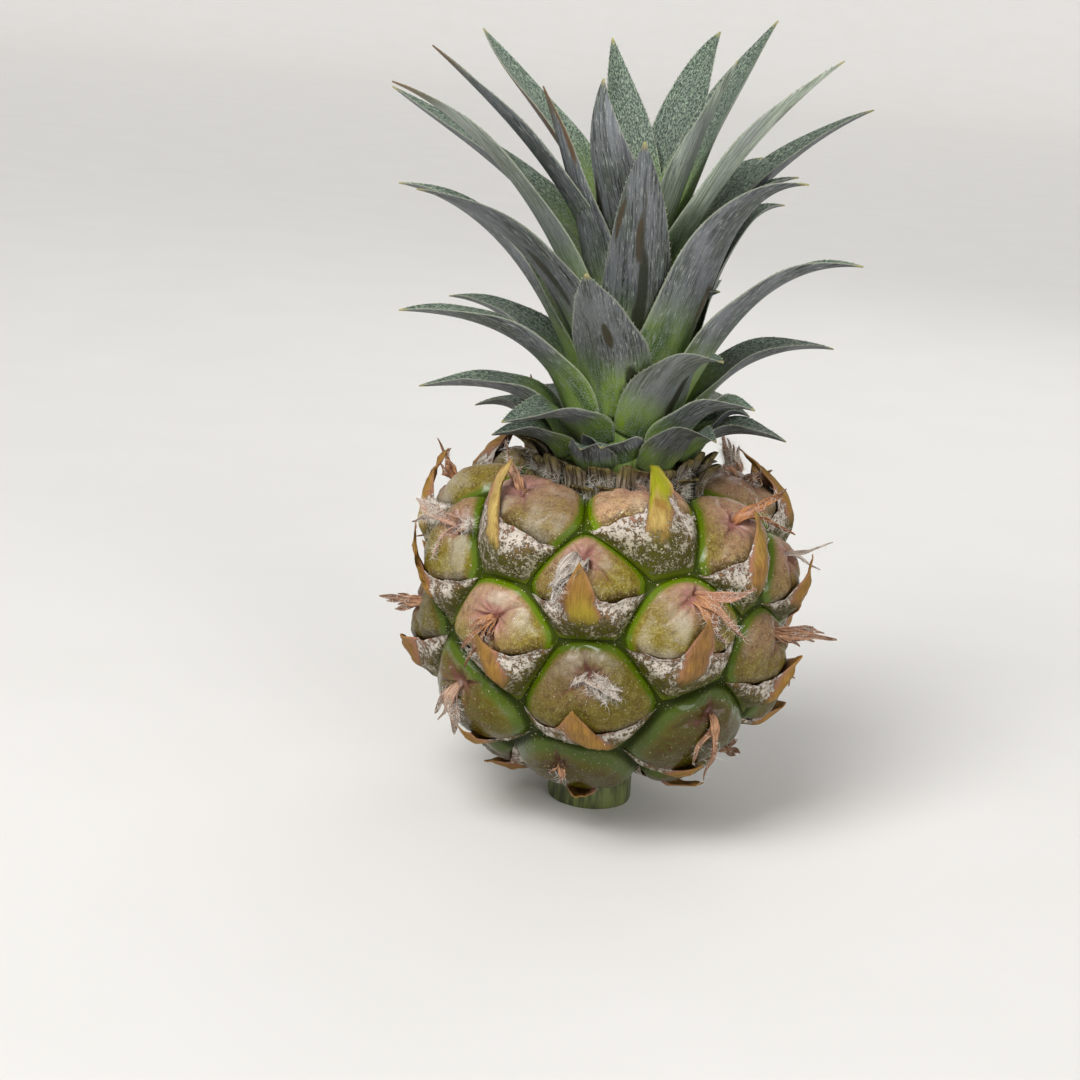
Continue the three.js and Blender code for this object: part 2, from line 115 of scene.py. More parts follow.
# How each dome in view looks: fruitlet: (0 olive to 1 rosy, whitish dust with a painted soft
# highlight on it and the side that these lie on, 90 is up, 0 dark to 1 light, which is its own
# tone and painted shade that darkens the lower domes, mm of pink round its flower)
DOME_LOOKS = {
    0: (0.42, 0.55, 20, 0.53, 3.6), -8: (0.45, 1.05, 70, 0.60, 4.6), -5: (0.22, 1.00, 175, 0.55, 4.4),
    -13: (0.25, 1.00, 100, 0.37, 2.8), -16: (0.30, 0.60, 60, 0.38, 3.2), -18: (0.30, 0.20, 90, 0.27, 3.4),
    -21: (0.05, 0.10, 90, 0.27, 3.0), -3: (0.15, 1.20, 10, 0.52, 3.0), -10: (0.35, 0.60, 60, 0.40, 3.0),
    5: (1.05, 0.75, -40, 0.47, 5.0), 8: (1.25, 0.60, 200, 0.76, 5.5), 3: (0.75, 0.20, 60, 0.48, 3.4),
    2: (0.30, 1.20, -60, 0.53, 5.0),
}

# The dry strips of the withered flowers: fruitlet: [(direction, 90 is up, length in mm,
# degrees that it stands off the rind, width in mm), ...]
FLOWER_STRIPS = {
    0: [(250, 12.5, 9, 5.0), (236, 10, 22, 2.8), (264, 7.5, 6, 2.6)],
    -8: [(232, 9.5, 32, 1.9), (248, 12.5, 14, 2.6), (266, 9.5, 22, 2.2), (215, 6, 40, 1.8),
         (276, 7, 12, 2.6)],
    -5: [(8, 12.5, 34, 2.6), (-38, 13.5, 14, 2.4), (-60, 12, 6, 3.4), (-18, 6, 45, 2.0)],
    -13: [(335, 8.0, 26, 3.0), (315, 6.5, 30, 2.4), (15, 5.0, 40, 2.0), (200, 4.5, 34, 2.2),
          (262, 4, 30, 2.4), (350, 7.0, 18, 1.8)],
    -16: [(232, 9, 30, 2.2), (262, 13, 8, 2.6), (246, 9, 24, 2.2), (285, 8, 14, 2.0)],
    -18: [(262, 14, 14, 2.2), (250, 12, 8, 1.6), (275, 8, 20, 1.8)],
    -21: [(270, 4, 30, 2.0), (200, 3, 30, 1.6)],
    -3: [(182, 12, 34, 2.6), (198, 11, 24, 2.6), (18, 8.5, 16, 3.6), (262, 9, 16, 2.0),
         (168, 8, 46, 2.2)],
    -10: [(352, 13.5, 52, 2.6), (0, 12, 44, 2.2), (340, 12, 38, 2.0), (10, 9, 50, 1.8),
          (330, 8, 36, 2.0)],
    -11: [(192, 11, 55, 2.4), (200, 11, 42, 2.2), (182, 9, 38, 2.0), (214, 9, 48, 1.8),
          (206, 7, 60, 2.0)],
    -2: [(350, 11.5, 46, 1.0), (316, 11, 38, 0.9)],
    1: [(20, 14, 42, 2.6), (34, 15, 34, 2.6), (8, 12, 30, 2.2), (50, 10, 52, 2.2), (28, 10, 60, 2.4)],
    2: [(178, 14, 40, 2.3), (187, 15, 30, 2.1), (206, 11, 20, 2.3), (170, 8, 54, 2.6)],
    3: [(2, 14, 28, 2.2), (322, 13.5, 12, 2.0), (345, 7, 44, 2.0)],
    5: [(150, 12, 26, 2.4), (138, 8, 16, 2.0), (20, 3, 50, 1.8)],
    7: [(100, 17, 80, 2.8), (140, 15, 70, 2.6), (120, 13, 60, 2.4), (160, 14, 66, 2.2)],
    8: [(160, 6, 50, 2.4), (130, 5, 60, 2.2), (60, 4, 60, 1.8)],
}
USUAL_STRIPS = 4
USUAL_FLOWER_LENGTH = 8.5

# How strongly a flower is covered in white hairs, and how grey, not orange, it is
FLOWER_FUZZ = {
    0: 0.5, -13: 0.9, -16: 0.8, -3: 1.3, 1: 1.6, 8: 0.7, -2: 0.25, -5: 0.5, -8: 0.3, 3: 0.25, 5: 0.4,
    2: 0.12, 7: 0.6, -18: 0.15, -10: 0.2, -11: 0.3,
}
FLOWER_GREY = {
    0: 0.9, -13: 0.8, -2: 0.8, -3: 0.35, 2: 0.05, -16: 0.4, 1: 0.15, -5: 0.1, -8: 0.1, 3: 0.0, 7: 0.0,
}
USUAL_FUZZ = 0.3
USUAL_GREY = 0.2

# A bract's keel: fruitlet: (its tip's mm to the right and above the flower, mm that the tip
# stands out, its foot's mm to the right, half its width)
BRACT_KEELS = {
    0: (-0.8, -2.6, 0.8, 1.6, 3.4), -8: (-0.8, -4.0, 0.5, 3.6, 2.9), -5: (1.3, -1.6, 0.8, -0.8, 2.9),
    -13: (-1.8, -5.6, 0.5, 6.0, 3.8), 5: (-6.2, 2.6, 2.4, 1.2, 2.4), 8: (1.6, 5.2, 3.4, -1.6, 2.9),
    3: (0.8, -3.0, 1.2, -1.6, 2.7), -3: (-3.2, -2.4, 1.6, 3.2, 2.4), 2: (-1.2, -0.6, 3.0, 4.0, 2.4),
    -16: (2.0, -7.0, 0.3, 1.0, 2.6), -18: (-1.0, -7.0, 0.3, -1.0, 2.8),
}

# How green a keel still is: fruitlet: (at its tip, at its foot)
KEEL_GREEN = {8: (1.0, 0.0), 0: (0.0, 0.45), 2: (0.0, 0.3), 3: (0.1, 0.0)}

# How pale a keel is, from 0 rosy brown to 1 straw
KEEL_PALE = {5: 0.95, 8: 0.8, 0: 0.45, -13: 0.4, -5: 0.15, -8: 0.4, 3: 0.3}
USUAL_PALE = 0.4

# The crown. Values run along it from its lowest leaf, 0, to its innermost leaf, 1; heights are
# above the fruit's widest level.
LEAF_COUNT = 47
LEAF_TURN = 137.5
FIRST_LEAF_AZIMUTH = 338.9
TIP_HEIGHTS = [(0, 40), (0.15, 41), (0.35, 63), (0.6, 98), (0.8, 110), (1, 116)]
TIP_RADII = [(0, 31), (0.15, 33), (0.35, 45), (0.6, 52), (0.8, 47), (1, 21)]
BASE_ANGLES = [(0, 42), (0.2, 26), (0.5, 18), (1, 8)]
TIP_ANGLES = [(0, 112), (0.2, 100), (0.5, 86), (0.75, 66), (0.9, 46), (1, 15)]
LEAF_WIDTHS = [(0, 10), (0.2, 13.5), (0.5, 15), (1, 11)]
BASE_RADII = [(0, 14.5), (1, 3.5)]
LOWEST_BASE = 33.5
BASE_CLIMB = 38.5
BASE_CLIMB_POWER = 1.7
GROWN_LEAF = 30
BASE_HANDLES = (0.5, 0.36)
TIP_HANDLES = (0.46, 0.3)
LEAF_OUTLINE = [(0, 0.8), (0.12, 0.95), (0.3, 1), (0.55, 0.82), (0.8, 0.48), (0.93, 0.2), (1, 0.03)]
LEAF_THICKNESSES = [(0, 1.1), (0.4, 1.1), (0.8, 0.75), (1, 0.4)]
LEAF_EDGE = 0.22
CHANNEL_DEPTH = 0.2

# Where single leaf tips depart from the rule: leaf: (degrees of turn, mm outward, mm up), and for
# some the degrees by which the tip leans further out
LEAF_NUDGES = {
    0: (0, -10, -1), 1: (-21, -6, 4), 3: (7, -3, 3), 4: (0, -6, 0), 5: (-21, -6, -3),
    8: (-10, -15, -4), 9: (0, -2, -3), 10: (0, 4, -3), 11: (7, -9, -2), 13: (-12, -9, -12),
    16: (19, -16, -4), 18: (0, 2, -6), 19: (0, -2, 6), 20: (0, -10, -5), 21: (0, -10, -3, -45),
    22: (0, -14, 4), 24: (11, -11, 6), 25: (0, -18, -18), 26: (-14, -3, -7), 27: (0, -22, -4),
    28: (0, -12, -10), 29: (-8, -29.4, -1.8, -75), 30: (0, -10, -8), 31: (0, 0, 2), 32: (10, -32, -34),
    33: (0, -26, -26), 34: (-58, -27.4, -0.8, -45), 35: (-7, -3, -2), 36: (0, 9, -7), 37: (20, -32, -38),
    38: (-6, -10, 7), 39: (-28, 2, 0), 40: (-9, -1, 3), 41: (0, -22, -32), 42: (-27, -15.2, -5, -68),
    43: (-4, 0, 7), 44: (-36, 18, 0, 24), 45: (34, -8, -2), 46: (16, 6, -1),
}

# The dead scale leaves round the crown's foot: their number, and the radius and height over the
# fruit's widest level of the lowest and highest foot
COLLAR_SCALES = 38
COLLAR_RADII = (18.0, 14.6)
COLLAR_HEIGHTS = (27.2, 31.0)
COLLAR_OUTLINE = [(0, 0.8), (0.3, 0.9), (0.6, 1), (0.8, 0.93), (0.93, 0.6), (1, 0.16)]

# Rubbed or dried streaks on single leaves: leaf: [(from, to along the leaf, place across from
# -1 to 1, half width of the streak across, 0 rubbed green to 1 dried brown), ...]
LEAF_STREAKS = {
    29: [(0.04, 0.50, 0.12, 0.12, 0.0), (0.50, 0.72, 0.05, 0.11, 0.3), (0.62, 0.80, -0.82, 0.10, 0.35)],
    21: [(0.44, 0.64, 0.2, 0.09, 0.2), (0.0, 0.34, 0.55, 0.12, 0.0)],
    26: [(0.30, 0.52, 0.35, 0.10, 0.1), (0.1, 0.4, -0.2, 0.07, 0.0)],
    31: [(0.18, 0.42, -0.85, 0.16, 1.0)],
    24: [(0.26, 0.38, 0.5, 0.22, 0.8)],
    34: [(0.66, 1.0, 0.95, 0.12, 0.8)],
    16: [(0.1, 0.5, 0.35, 0.10, 0.1)],
    42: [(0.93, 1.0, 0.3, 0.5, 0.5), (0.1, 0.5, -0.9, 0.16, 0.1)],
    44: [(0.3, 0.9, 0.9, 0.14, 0.9)],
}
BROWN_TIPPED = (34, 31, 39, 37, 41)

# How pale and green the backs of single leaves are
PALE_LEAVES = {45: 1.0, 40: 1.0, 31: 0.5, 38: 0.3, 16: 0.3}

# The stalk's outline: (share of its radius, mm above the cut), and the same below its top
STALK_FOOT = [(0.45, 0), (0.8, 0), (0.955, 0), (0.985, 0.12), (1, 0.5), (0.99, 3), (0.985, 5.5),
              (0.985, 8)]
STALK_TOP = [(0.995, 0.2), (0.97, 0), (0.5, 0)]

# The teeth: where along a leaf they begin and end, and how far they point towards its tip
TOOTHED = (0.16, 0.96)
TOOTH_LEAN = 0.9

# Points across a dry strip and across a dead scale
STRIP_COLUMNS = 7
SCALE_COLUMNS = 17

# How a strip leaves the rind: mm from the middle of its pit, mm under the rind, and degrees
STRIP_ROOT = 0.6
STRIP_SUNK = 0.5
STRIP_RISES_AT = 78

# How the rows and columns of points crowd: towards a flower, and towards a bract's keel, whose
# blade ends a little before the cell's corners; points that meet within 1/1000 mm are one
RING_CROWDING = 1.15
COLUMN_CROWDING = 1.5
BRACT_REACH = 0.985
WELD_STEPS = 1000

# The cream crumbs on the rind: (cells in a millimetre, size of the largest, luck that most lack)
CRUMB_SIZES = ((1.25, 0.22, 0.83), (2.2, 0.26, 0.92))

# The folds of a dome: (depth in mm, half width in mm) of the broad valley along a seam, of the
# crease in it, and of the lap of one sepal over the next
VALLEY = (0.85, 2.4)
CREASE = (0.55, 0.45)
LAP = (0.30, 2.2)

# How much the hairs bend, as a share of their length, and the seeds of what is scattered
FLOWER_HAIR_BEND = 0.6
WOOL_BEND = 0.9
SCURF_SEED = 11
FLOWER_HAIR_SEED = 21
WOOL_SEED = 31

# The stage, in metres: half the floor's width, where its bend begins behind the fruit, the bend's
# radius, the floor's top behind it, the point that the lights face, and the nearest place that
# the camera sees. The camera's film is in millimetres.
FLOOR_HALF_WIDTH = 9.0
FLOOR_BEND_FROM = 3.0
FLOOR_BEND_RADIUS = 1.5
FLOOR_TOP = 6.0
LIGHTS_AIM = (0, 0, 0.07)
CAMERA_NEAR = 0.01
CAMERA_FILM = 36

# Names that several operators share
SURFACE_MAP = "surface_mm"
HAIR_MATERIAL = "white_plant_hair"
HAIR_TREE = "scattered_hairs"


def draw(item, which):
    """The same number between 0 and 1 for the same item and draw, every time."""
    wave = np.sin(item * 12.9898 + which * 78.233) * 43758.5453
    return wave - np.floor(wave)


def along(pairs, place):
    """The value at a place in a list of (place, value) pairs, straight between them."""
    places, values = zip(*pairs)
    return np.interp(place, places, values)


def smooth_along(pairs, place):
    """The value at a place on a smooth curve through (place, value) pairs."""
    places, values = (np.array(column, float) for column in zip(*pairs))
    slopes = np.gradient(values, places)
    i = np.clip(np.searchsorted(places, place) - 1, 0, len(places) - 2)
    span = places[i + 1] - places[i]
    t = np.clip((place - places[i]) / span, 0, 1)
    start = values[i] * (1 + 2 * t) * (1 - t) ** 2 + slopes[i] * span * t * (1 - t) ** 2
    end = values[i + 1] * t * t * (3 - 2 * t) - slopes[i + 1] * span * t * t * (1 - t)
    return start + end


def step_between(value, low, high):
    """0 below low, 1 above high, smooth between; the other way round where high is lower."""
    t = np.clip((value - low) / (high - low), 0, 1)
    return t * t * (3 - 2 * t)


def unit(vectors):
    """The vectors at a length of 1."""
    return vectors / np.linalg.norm(vectors, axis=-1, keepdims=True)


def wobble(x, y, item, size):
    """A smooth uneven number of about -1 to 1 over a plane, of the given wave size."""
    a, b, c = (2 * math.pi * draw(item, which) for which in (41, 42, 43))
    u, v = 2 * math.pi * x / size, 2 * math.pi * y / size
    return (np.sin(u + a + 0.7 * np.sin(v + b)) + np.sin(0.8 * v + c + 0.9 * np.sin(0.6 * u + a))
            + 0.6 * np.sin(1.7 * u - 1.3 * v + b)) / 2.2


# The fruit's surface


def fruit_profile():
    """The groove level as shares of the area below, radii and heights, and the whole area."""
    angle = math.pi * (np.arange(PROFILE_STEPS + 1) / PROFILE_STEPS - 0.5)
    power = np.where(angle < 0, BASE_POWER, SHOULDER_POWER)
    radius = GROOVE_RADIUS * np.clip(np.cos(angle), 0, None) ** (2 / power)
    height = GROOVE_HALF_HEIGHT * np.sign(angle) * np.abs(np.sin(angle)) ** (2 / power)
    bands = math.pi * (radius[1:] + radius[:-1]) * np.hypot(np.diff(radius), np.diff(height))
    below = np.concatenate([[0], np.cumsum(bands)])
    return below / below[-1], radius, height, below[-1]


SHARES, RADII, HEIGHTS, AREA = fruit_profile()
SPHERE_RADIUS = math.sqrt(AREA / (4 * math.pi))


def direction_at(azimuth, share):
    """The direction that stands for an azimuth and a share, on a sphere of the fruit's area."""
    level = 2 * share - 1
    reach = math.sqrt(max(0, 1 - level * level))
    return np.array([reach * math.sin(math.radians(azimuth)),
                     -reach * math.cos(math.radians(azimuth)), level])


def outward_at(directions):
    """How far sideways and upwards a rise over the grooves goes, for each direction."""
    share = np.clip((directions[..., 2] + 1) / 2, 0, 1)
    below, above = np.clip(share - SLOPE_STEP, 0, 1), np.clip(share + SLOPE_STEP, 0, 1)
    climb = np.interp(above, SHARES, HEIGHTS) - np.interp(below, SHARES, HEIGHTS)
    inward = np.interp(below, SHARES, RADII) - np.interp(above, SHARES, RADII)
    slope = np.hypot(climb, inward)
    return climb / slope, inward / slope


def over_fruit(directions, rise):
    """Points in mm for directions, raised above the grooves."""
    share = np.clip((directions[..., 2] + 1) / 2, 0, 1)
    azimuth = np.arctan2(directions[..., 0], -directions[..., 1])
    outward, upward = outward_at(directions)
    at_pole = np.hypot(directions[..., 0], directions[..., 1]) < 1e-6
    outward = np.where(at_pole, 0, outward)
    upward = np.where(at_pole, np.sign(directions[..., 2]), upward)
    radius = np.interp(share, SHARES, RADII) + rise * outward
    height = np.interp(share, SHARES, HEIGHTS) + rise * upward
    return np.stack([radius * np.sin(azimuth), -radius * np.cos(azimuth),
                     FRUIT_CENTRE + height], -1)


class Fruitlet:
    """One fruitlet's cell on the fruit, or the plain seat of the stalk or the crown."""

    def __init__(self, number, middle, flower, seat=False):
        self.number = number
        self.seat = seat
        self.middle = middle
        self.flower = flower
        self.east = np.array([1.0, 0, 0]) if seat else unit(np.cross([0, 0, 1], flower))
        self.north = np.cross(flower, self.east)
        self.gloss = float(step_between(-number, 11, 19))
        self.heart = HEARTS.get(number, (0.0, 0.0))
        self.seams = SEAMS.get(number) or tuple(
            heading + 34 * (draw(number, 50 + which) - 0.5)
            for which, heading in enumerate(USUAL_SEAMS))
        self.height_share = share = float(step_between(number, -16, 6))
        # The usual look grows darker towards the lowest fruitlets: painted shade
        usual = (0.12 + 0.45 * share, 0.8, 60, 0.24 + 0.16 * share + 0.12 * draw(number, 70),
                 2.4 + 2.4 * share)
        self.rosy, self.dust, self.dust_side, self.light, self.pink = DOME_LOOKS.get(number, usual)

    def find_outline(self, others):
        """The planes half-way to the cells around, and the corners that they leave."""
        planes = [unit(self.middle - other.middle) for other in others
                  if other is not self and other.middle @ self.middle > 0]
        corners = [self.middle + x * self.east + y * self.north
                   for x, y in ((-2, -2), (2, -2), (2, 2), (-2, 2))]
        for plane in planes:
            kept = []
            for i, corner in enumerate(corners):
                following = corners[(i + 1) % len(corners)]
                here, there = corner @ plane, following @ plane
                if here >= 0:
                    kept.append(corner)
                if (here >= 0) != (there >= 0):
                    kept.append(corner + (following - corner) * here / (here - there))
            corners = kept
        self.planes = np.array(planes)
        self.corners = unit(np.array(corners))
        self.flat_corners = self.flat(self.corners)
        if not self.seat:
            self.left = int(np.argmin(self.flat_corners[:, 0]))
            self.right = int(np.argmax(self.flat_corners[:, 0]))
            self.find_bract_line()

    def flat(self, directions):
        """Millimetres to the right and up from the flower."""
        ahead = directions @ self.flower
        return np.stack([directions @ self.east / ahead, directions @ self.north / ahead],
                        -1) * SPHERE_RADIUS

    def towards(self, x, y):
        """The directions of places given in millimetres from the flower."""
        x, y = np.asarray(x, float)[..., None], np.asarray(y, float)[..., None]
        return unit(self.flower + (x * self.east + y * self.north) / SPHERE_RADIUS)

    def edge_distance(self, directions):
        """Millimetres to the grooves around, rounded off where two of them meet."""
        distances = directions @ self.planes.T * SPHERE_RADIUS
        nearness = np.sum(np.exp(-distances / CORNER_ROUNDING), axis=-1)
        return np.clip(-np.log(nearness) * CORNER_ROUNDING, 0, None)

    def find_bract_line(self):
        """The outline under the bract's edge, cut off below the cell's left and right corners."""
        count = len(self.flat_corners)
        chain = [self.flat_corners[(self.left + i) % count]
                 for i in range((self.right - self.left) % count + 1)]
        for drop in BRACT_DROPS.get(self.number, USUAL_DROPS):
            while len(chain) > 2 and math.dist(chain[0], chain[1]) <= drop:
                drop -= math.dist(chain[0], chain[1])
                chain = chain[1:]
            share = min(0.9, drop / math.dist(chain[0], chain[1]))
            chain[0] = chain[0] + (chain[1] - chain[0]) * share
            chain = chain[::-1]
        self.under_line = np.array(chain)

    def bract_line(self, x):
        """The height where the dome ends and the bract's wings begin."""
        start, end = self.under_line[0], self.under_line[-1]
        t = np.clip((x - start[0]) / (end[0] - start[0]), 0, 1)
        low_start, low_end = min(start[1], -1.5), min(end[1], -1.5)
        return low_start + (low_end - low_start) * t - BRACT_SAG * np.sin(math.pi * t) ** 0.7


def spiral_of_fruitlets():
    """All cells: the fruitlets from the lowest up, then the seats of the stalk and the crown."""
    share_per_height = 1 / (2 * SPHERE_RADIUS)
    cells = []
    for number in range(LOWEST_FRUITLET, HIGHEST_FRUITLET + 1):
        turn, lift = FRUITLET_NUDGES.get(number, (0, 0))
        crowding = 1 - SHOULDER_CROWDING * max(0, number)
        share = FRONT_FLOWER[1] + number / FRUITLET_COUNT * crowding + lift * share_per_height
        azimuth = FRONT_FLOWER[0] + GOLDEN_TURN * number + turn
        middle = direction_at(azimuth, share - FLOWER_RISE * share_per_height)
        cells.append(Fruitlet(number, middle, direction_at(azimuth, share)))
    for number, level in ((LOWEST_FRUITLET - 1, -1.0), (HIGHEST_FRUITLET + 1, 1.0)):
        pole = np.array([0, 0, level])
        cells.append(Fruitlet(number, pole, pole, seat=True))
    for cell in cells:
        cell.find_outline(cells)
    return cells


CELLS = spiral_of_fruitlets()
FRUITLETS = [cell for cell in CELLS if not cell.seat]


def cushion(edge):
    """The plain height of a fruitlet over the groove level, from the distance to the nearest."""
    full = 1 - (1 - np.clip(edge / CUSHION_REACH, 0, 1)) ** CUSHION_POWER
    return (CUSHION_RISE + GROOVE_DEPTH) * full - GROOVE_DEPTH


def dome_relief(cell, directions):
    """A fruitlet's height over the groove level, and how deep its seams and pit are."""
    edge = cell.edge_distance(directions)
    height = cushion(edge)
    if cell.seat:
        return height, np.zeros_like(edge)
    across, upward = np.moveaxis(cell.flat(directions), -1, 0)
    x, y = across - cell.heart[0], upward - cell.heart[1]
    radius, angle = np.hypot(x, y), np.arctan2(y, x)
    inside = step_between(edge, 0.2, 2.6)
    near = np.exp(-(radius / 8) ** 4)
    folds = np.zeros_like(edge)
    for which, heading in enumerate(cell.seams):
        turned = angle - math.radians(heading)
        drift = wobble(x, y, cell.number + which, 9) * step_between(radius, 0, 4)
        aside = radius * np.sin(turned) + 0.7 * drift
        ahead = step_between(radius * np.cos(turned), -0.6, 1.0) * inside
        valley = np.exp(-(aside / VALLEY[1]) ** 2) * np.exp(-(radius / 10.5) ** 4)
        crease = np.exp(-(aside / CREASE[1]) ** 2) * near
        lap = np.tanh(aside / 0.3) * np.exp(-(aside / LAP[1]) ** 2) * near
        height = height - ahead * (VALLEY[0] * valley + CREASE[0] * crease - LAP[0] * lap)
        folds = folds + ahead * crease
    rays = np.cos(11 * angle + 6 * draw(cell.number, 53))
    puckers = 0.20 * rays * np.exp(-((radius - 2.4) / 1.6) ** 2)
    pit = PIT_DEPTH * np.exp(-(radius / PIT_RADIUS) ** 2)
    lumps = 0.24 * wobble(x, y, cell.number, 8.5) + 0.11 * wobble(y, x, cell.number + 60, 3.1)
    height = height - pit - puckers * inside + lumps * inside
    over = upward - cell.bract_line(across)
    rounding = 1 - np.sqrt(1 - np.clip(1 - (over + 0.3) / 3.2, 0, 1) ** 2)
    under = 1.5 * rounding + 0.7 * step_between(over, 0, -1.5)
    return height - under * step_between(edge, 0.1, 2.0), folds + 0.7 * pit / PIT_DEPTH


# Meshes


def new_piece(name, points, faces, floats=None, colours=None, uv=None):
    """A smooth mesh object from points in mm, lists of corners, and values at the points."""
    mesh = bpy.data.meshes.new(name)
    mesh.from_pydata((np.asarray(points) * MM).tolist(), [], [list(map(int, f)) for f in faces])
    for key, values in (floats or {}).items():
        attribute = mesh.attributes.new(key, "FLOAT", "POINT")
        attribute.data.foreach_set("value", np.asarray(values, np.float32))
    for key, values in (colours or {}).items():
        attribute = mesh.attributes.new(key, "FLOAT_COLOR", "POINT")
        full = np.ones((len(points), 4), np.float32)
        full[:, :3] = np.stack(values, -1)
        attribute.data.foreach_set("color", full.ravel())
    if uv is not None:
        corners = np.zeros(len(mesh.loops), np.int32)
        mesh.loops.foreach_get("vertex_index", corners)
        layer = mesh.uv_layers.new(name=SURFACE_MAP)
        layer.data.foreach_set("uv", np.asarray(uv, np.float32)[corners].ravel())
    mesh.polygons.foreach_set("use_smooth", np.ones(len(mesh.polygons), bool))
    mesh.update()
    piece = bpy.data.objects.new(name, mesh)
    bpy.context.scene.collection.objects.link(piece)
    return piece


def declare(piece, slot, material, *nodes):
    """Gives a piece its material, the body it rides on and the nodes it stands for. The slot is not used.
    """
    piece.data.materials.clear()
    piece.data.materials.append(material)
    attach(piece, BODY)
    if nodes:
        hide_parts(*nodes)


def blade_faces(rows, columns, first=0):
    """Faces of a closed blade: a front grid of points, then a back grid, then its edge."""
    index = np.arange(rows * columns).reshape(rows, columns) + first
    back = index + rows * columns
    quads = [np.stack([index[:-1, :-1], index[:-1, 1:], index[1:, 1:], index[1:, :-1]], -1),
             np.stack([back[:-1, :-1], back[1:, :-1], back[1:, 1:], back[:-1, 1:]], -1)]
    rims = [np.stack([back[:-1, 0], index[:-1, 0], index[1:, 0], back[1:, 0]], -1),
            np.stack([index[:-1, -1], back[:-1, -1], back[1:, -1], index[1:, -1]], -1),
            np.stack([back[0, :-1], back[0, 1:], index[0, 1:], index[0, :-1]], -1),
            np.stack([index[-1, :-1], index[-1, 1:], back[-1, 1:], back[-1, :-1]], -1)]
    return np.concatenate([quad.reshape(-1, 4) for quad in quads + rims])


FRONT_ONLY = np.array([1.0, 0.0])[:, None, None]


class Gatherer:
    """Collects blades with their values into one mesh."""

    def __init__(self):
        self.points, self.faces, self.values, self.count = [], [], {}, 0

    def add_blade(self, front, back, **values):
        """Adds a blade from its two grids of points, with values for both or for each."""
        rows, columns = front.shape[:2]
        self.faces.append(blade_faces(rows, columns, self.count))
        self.points += [front.reshape(-1, 3), back.reshape(-1, 3)]
        for key, value in values.items():
            both = np.broadcast_to(value, (2, rows, columns))
            self.values.setdefault(key, []).append(both.reshape(-1))
        self.count += 2 * rows * columns

    def joined(self, *keys):
        """The values of all points under each key."""
        return [np.concatenate(self.values[key]) for key in keys]

    def mesh(self):
        """All points and faces."""
        return np.concatenate(self.points), np.concatenate(self.faces)


def grown(host, tree, name, values):
    """What a Geometry Nodes tree makes on a host object, as a plain mesh object."""
    modifier = host.modifiers.new("grow", "NODES")
    modifier.node_group = tree
    for item in tree.interface.items_tree:
        if item.item_type == "SOCKET" and item.in_out == "INPUT" and item.name in values:
            modifier[item.identifier] = values[item.name]
    bpy.context.view_layer.update()
    graph = bpy.context.evaluated_depsgraph_get()
    mesh = bpy.data.meshes.new_from_object(host.evaluated_get(graph), depsgraph=graph)
    mesh.name = name
    host.modifiers.remove(modifier)
    piece = bpy.data.objects.new(name, mesh)
    bpy.context.scene.collection.objects.link(piece)
    return piece


def remove(thing):
    """Takes an object and its mesh away."""
    mesh = thing.data
    bpy.data.objects.remove(thing)
    bpy.data.meshes.remove(mesh)


# Nodes


def linear(colour):
    """A colour given as an sRGB hex value, in Blender's linear light."""
    channels = [int(colour[i:i + 2], 16) / 255 for i in (1, 3, 5)]
    return [c / 12.92 if c <= 0.04045 else ((c + 0.055) / 1.055) ** 2.4 for c in channels] + [1.0]


def add_node(tree, kind, settings=None, inputs=None):
    """Adds a node, and gives its outputs as values by number and by name. An input is a value to
    link from, or a constant."""
    node = tree.nodes.new(kind)
    for key, value in (settings or {}).items():
        setattr(node, key, value)
    for key, value in (inputs or {}).items():
        if isinstance(value, Value):
            tree.links.new(value.socket, node.inputs[key])
        else:
            node.inputs[key].default_value = value
    outputs = {}
    for number, socket in enumerate(node.outputs):
        outputs[number] = outputs[socket.name] = Value(tree, socket)
    return outputs


class Value:
    """A node's output. Its sums, products and spreads are outputs of further nodes."""

    def __init__(self, tree, socket):
        self.tree, self.socket = tree, socket

    def combined(self, operation, other):
        """This value and another one, or a number, by an operation of the maths node."""
        return add_node(self.tree, "ShaderNodeMath", {"operation": operation}, {0: self, 1: other})[0]

    def __add__(self, other):
        return self.combined("ADD", other)

    def __sub__(self, other):
        return self.combined("SUBTRACT", other)

    def __mul__(self, other):
        return self.combined("MULTIPLY", other)

    def __truediv__(self, other):
        return self.combined("DIVIDE", other)

    def spread(self, low, high, most=1.0, least=0.0):
        """This value spread smoothly, from least where it is low to most where it is high."""
        return add_node(self.tree, "ShaderNodeMapRange", {"interpolation_type": "SMOOTHSTEP"}, {
            "Value": self, "From Min": low, "From Max": high, "To Min": least, "To Max": most})[0]


def shade(colour):
    """What a colour input takes: from a value, an sRGB hex value, or the three parts of a setting."""
    if isinstance(colour, Value):
        return colour
    return linear(colour) if isinstance(colour, str) else [*colour, 1]


def mix(share, first, second):
    """A colour that goes from the first to the second with the share."""
    return add_node(share.tree, "ShaderNodeMix", {"data_type": "RGBA"}, {
        0: share, 6: shade(first), 7: shade(second)})[2]


def blend(share, first, second):
    """A number that goes from the first to the second with the share."""
    return add_node(share.tree, "ShaderNodeMix", {"data_type": "FLOAT"}, {
        0: share, 2: first, 3: second})[0]


def brightened(colour, factor):
    """A colour with its brightness multiplied."""
    return add_node(colour.tree, "ShaderNodeHueSaturation", None, {
        "Value": factor, "Color": colour})[0]


def noise(place, scale, detail=2.0, roughness=0.5, distortion=0.0):
    """Cloudy noise between 0 and 1 over a place."""
    return add_node(place.tree, "ShaderNodeTexNoise", None, {
        "Vector": place, "Scale": scale, "Detail": detail, "Roughness": roughness,
        "Distortion": distortion})[0]


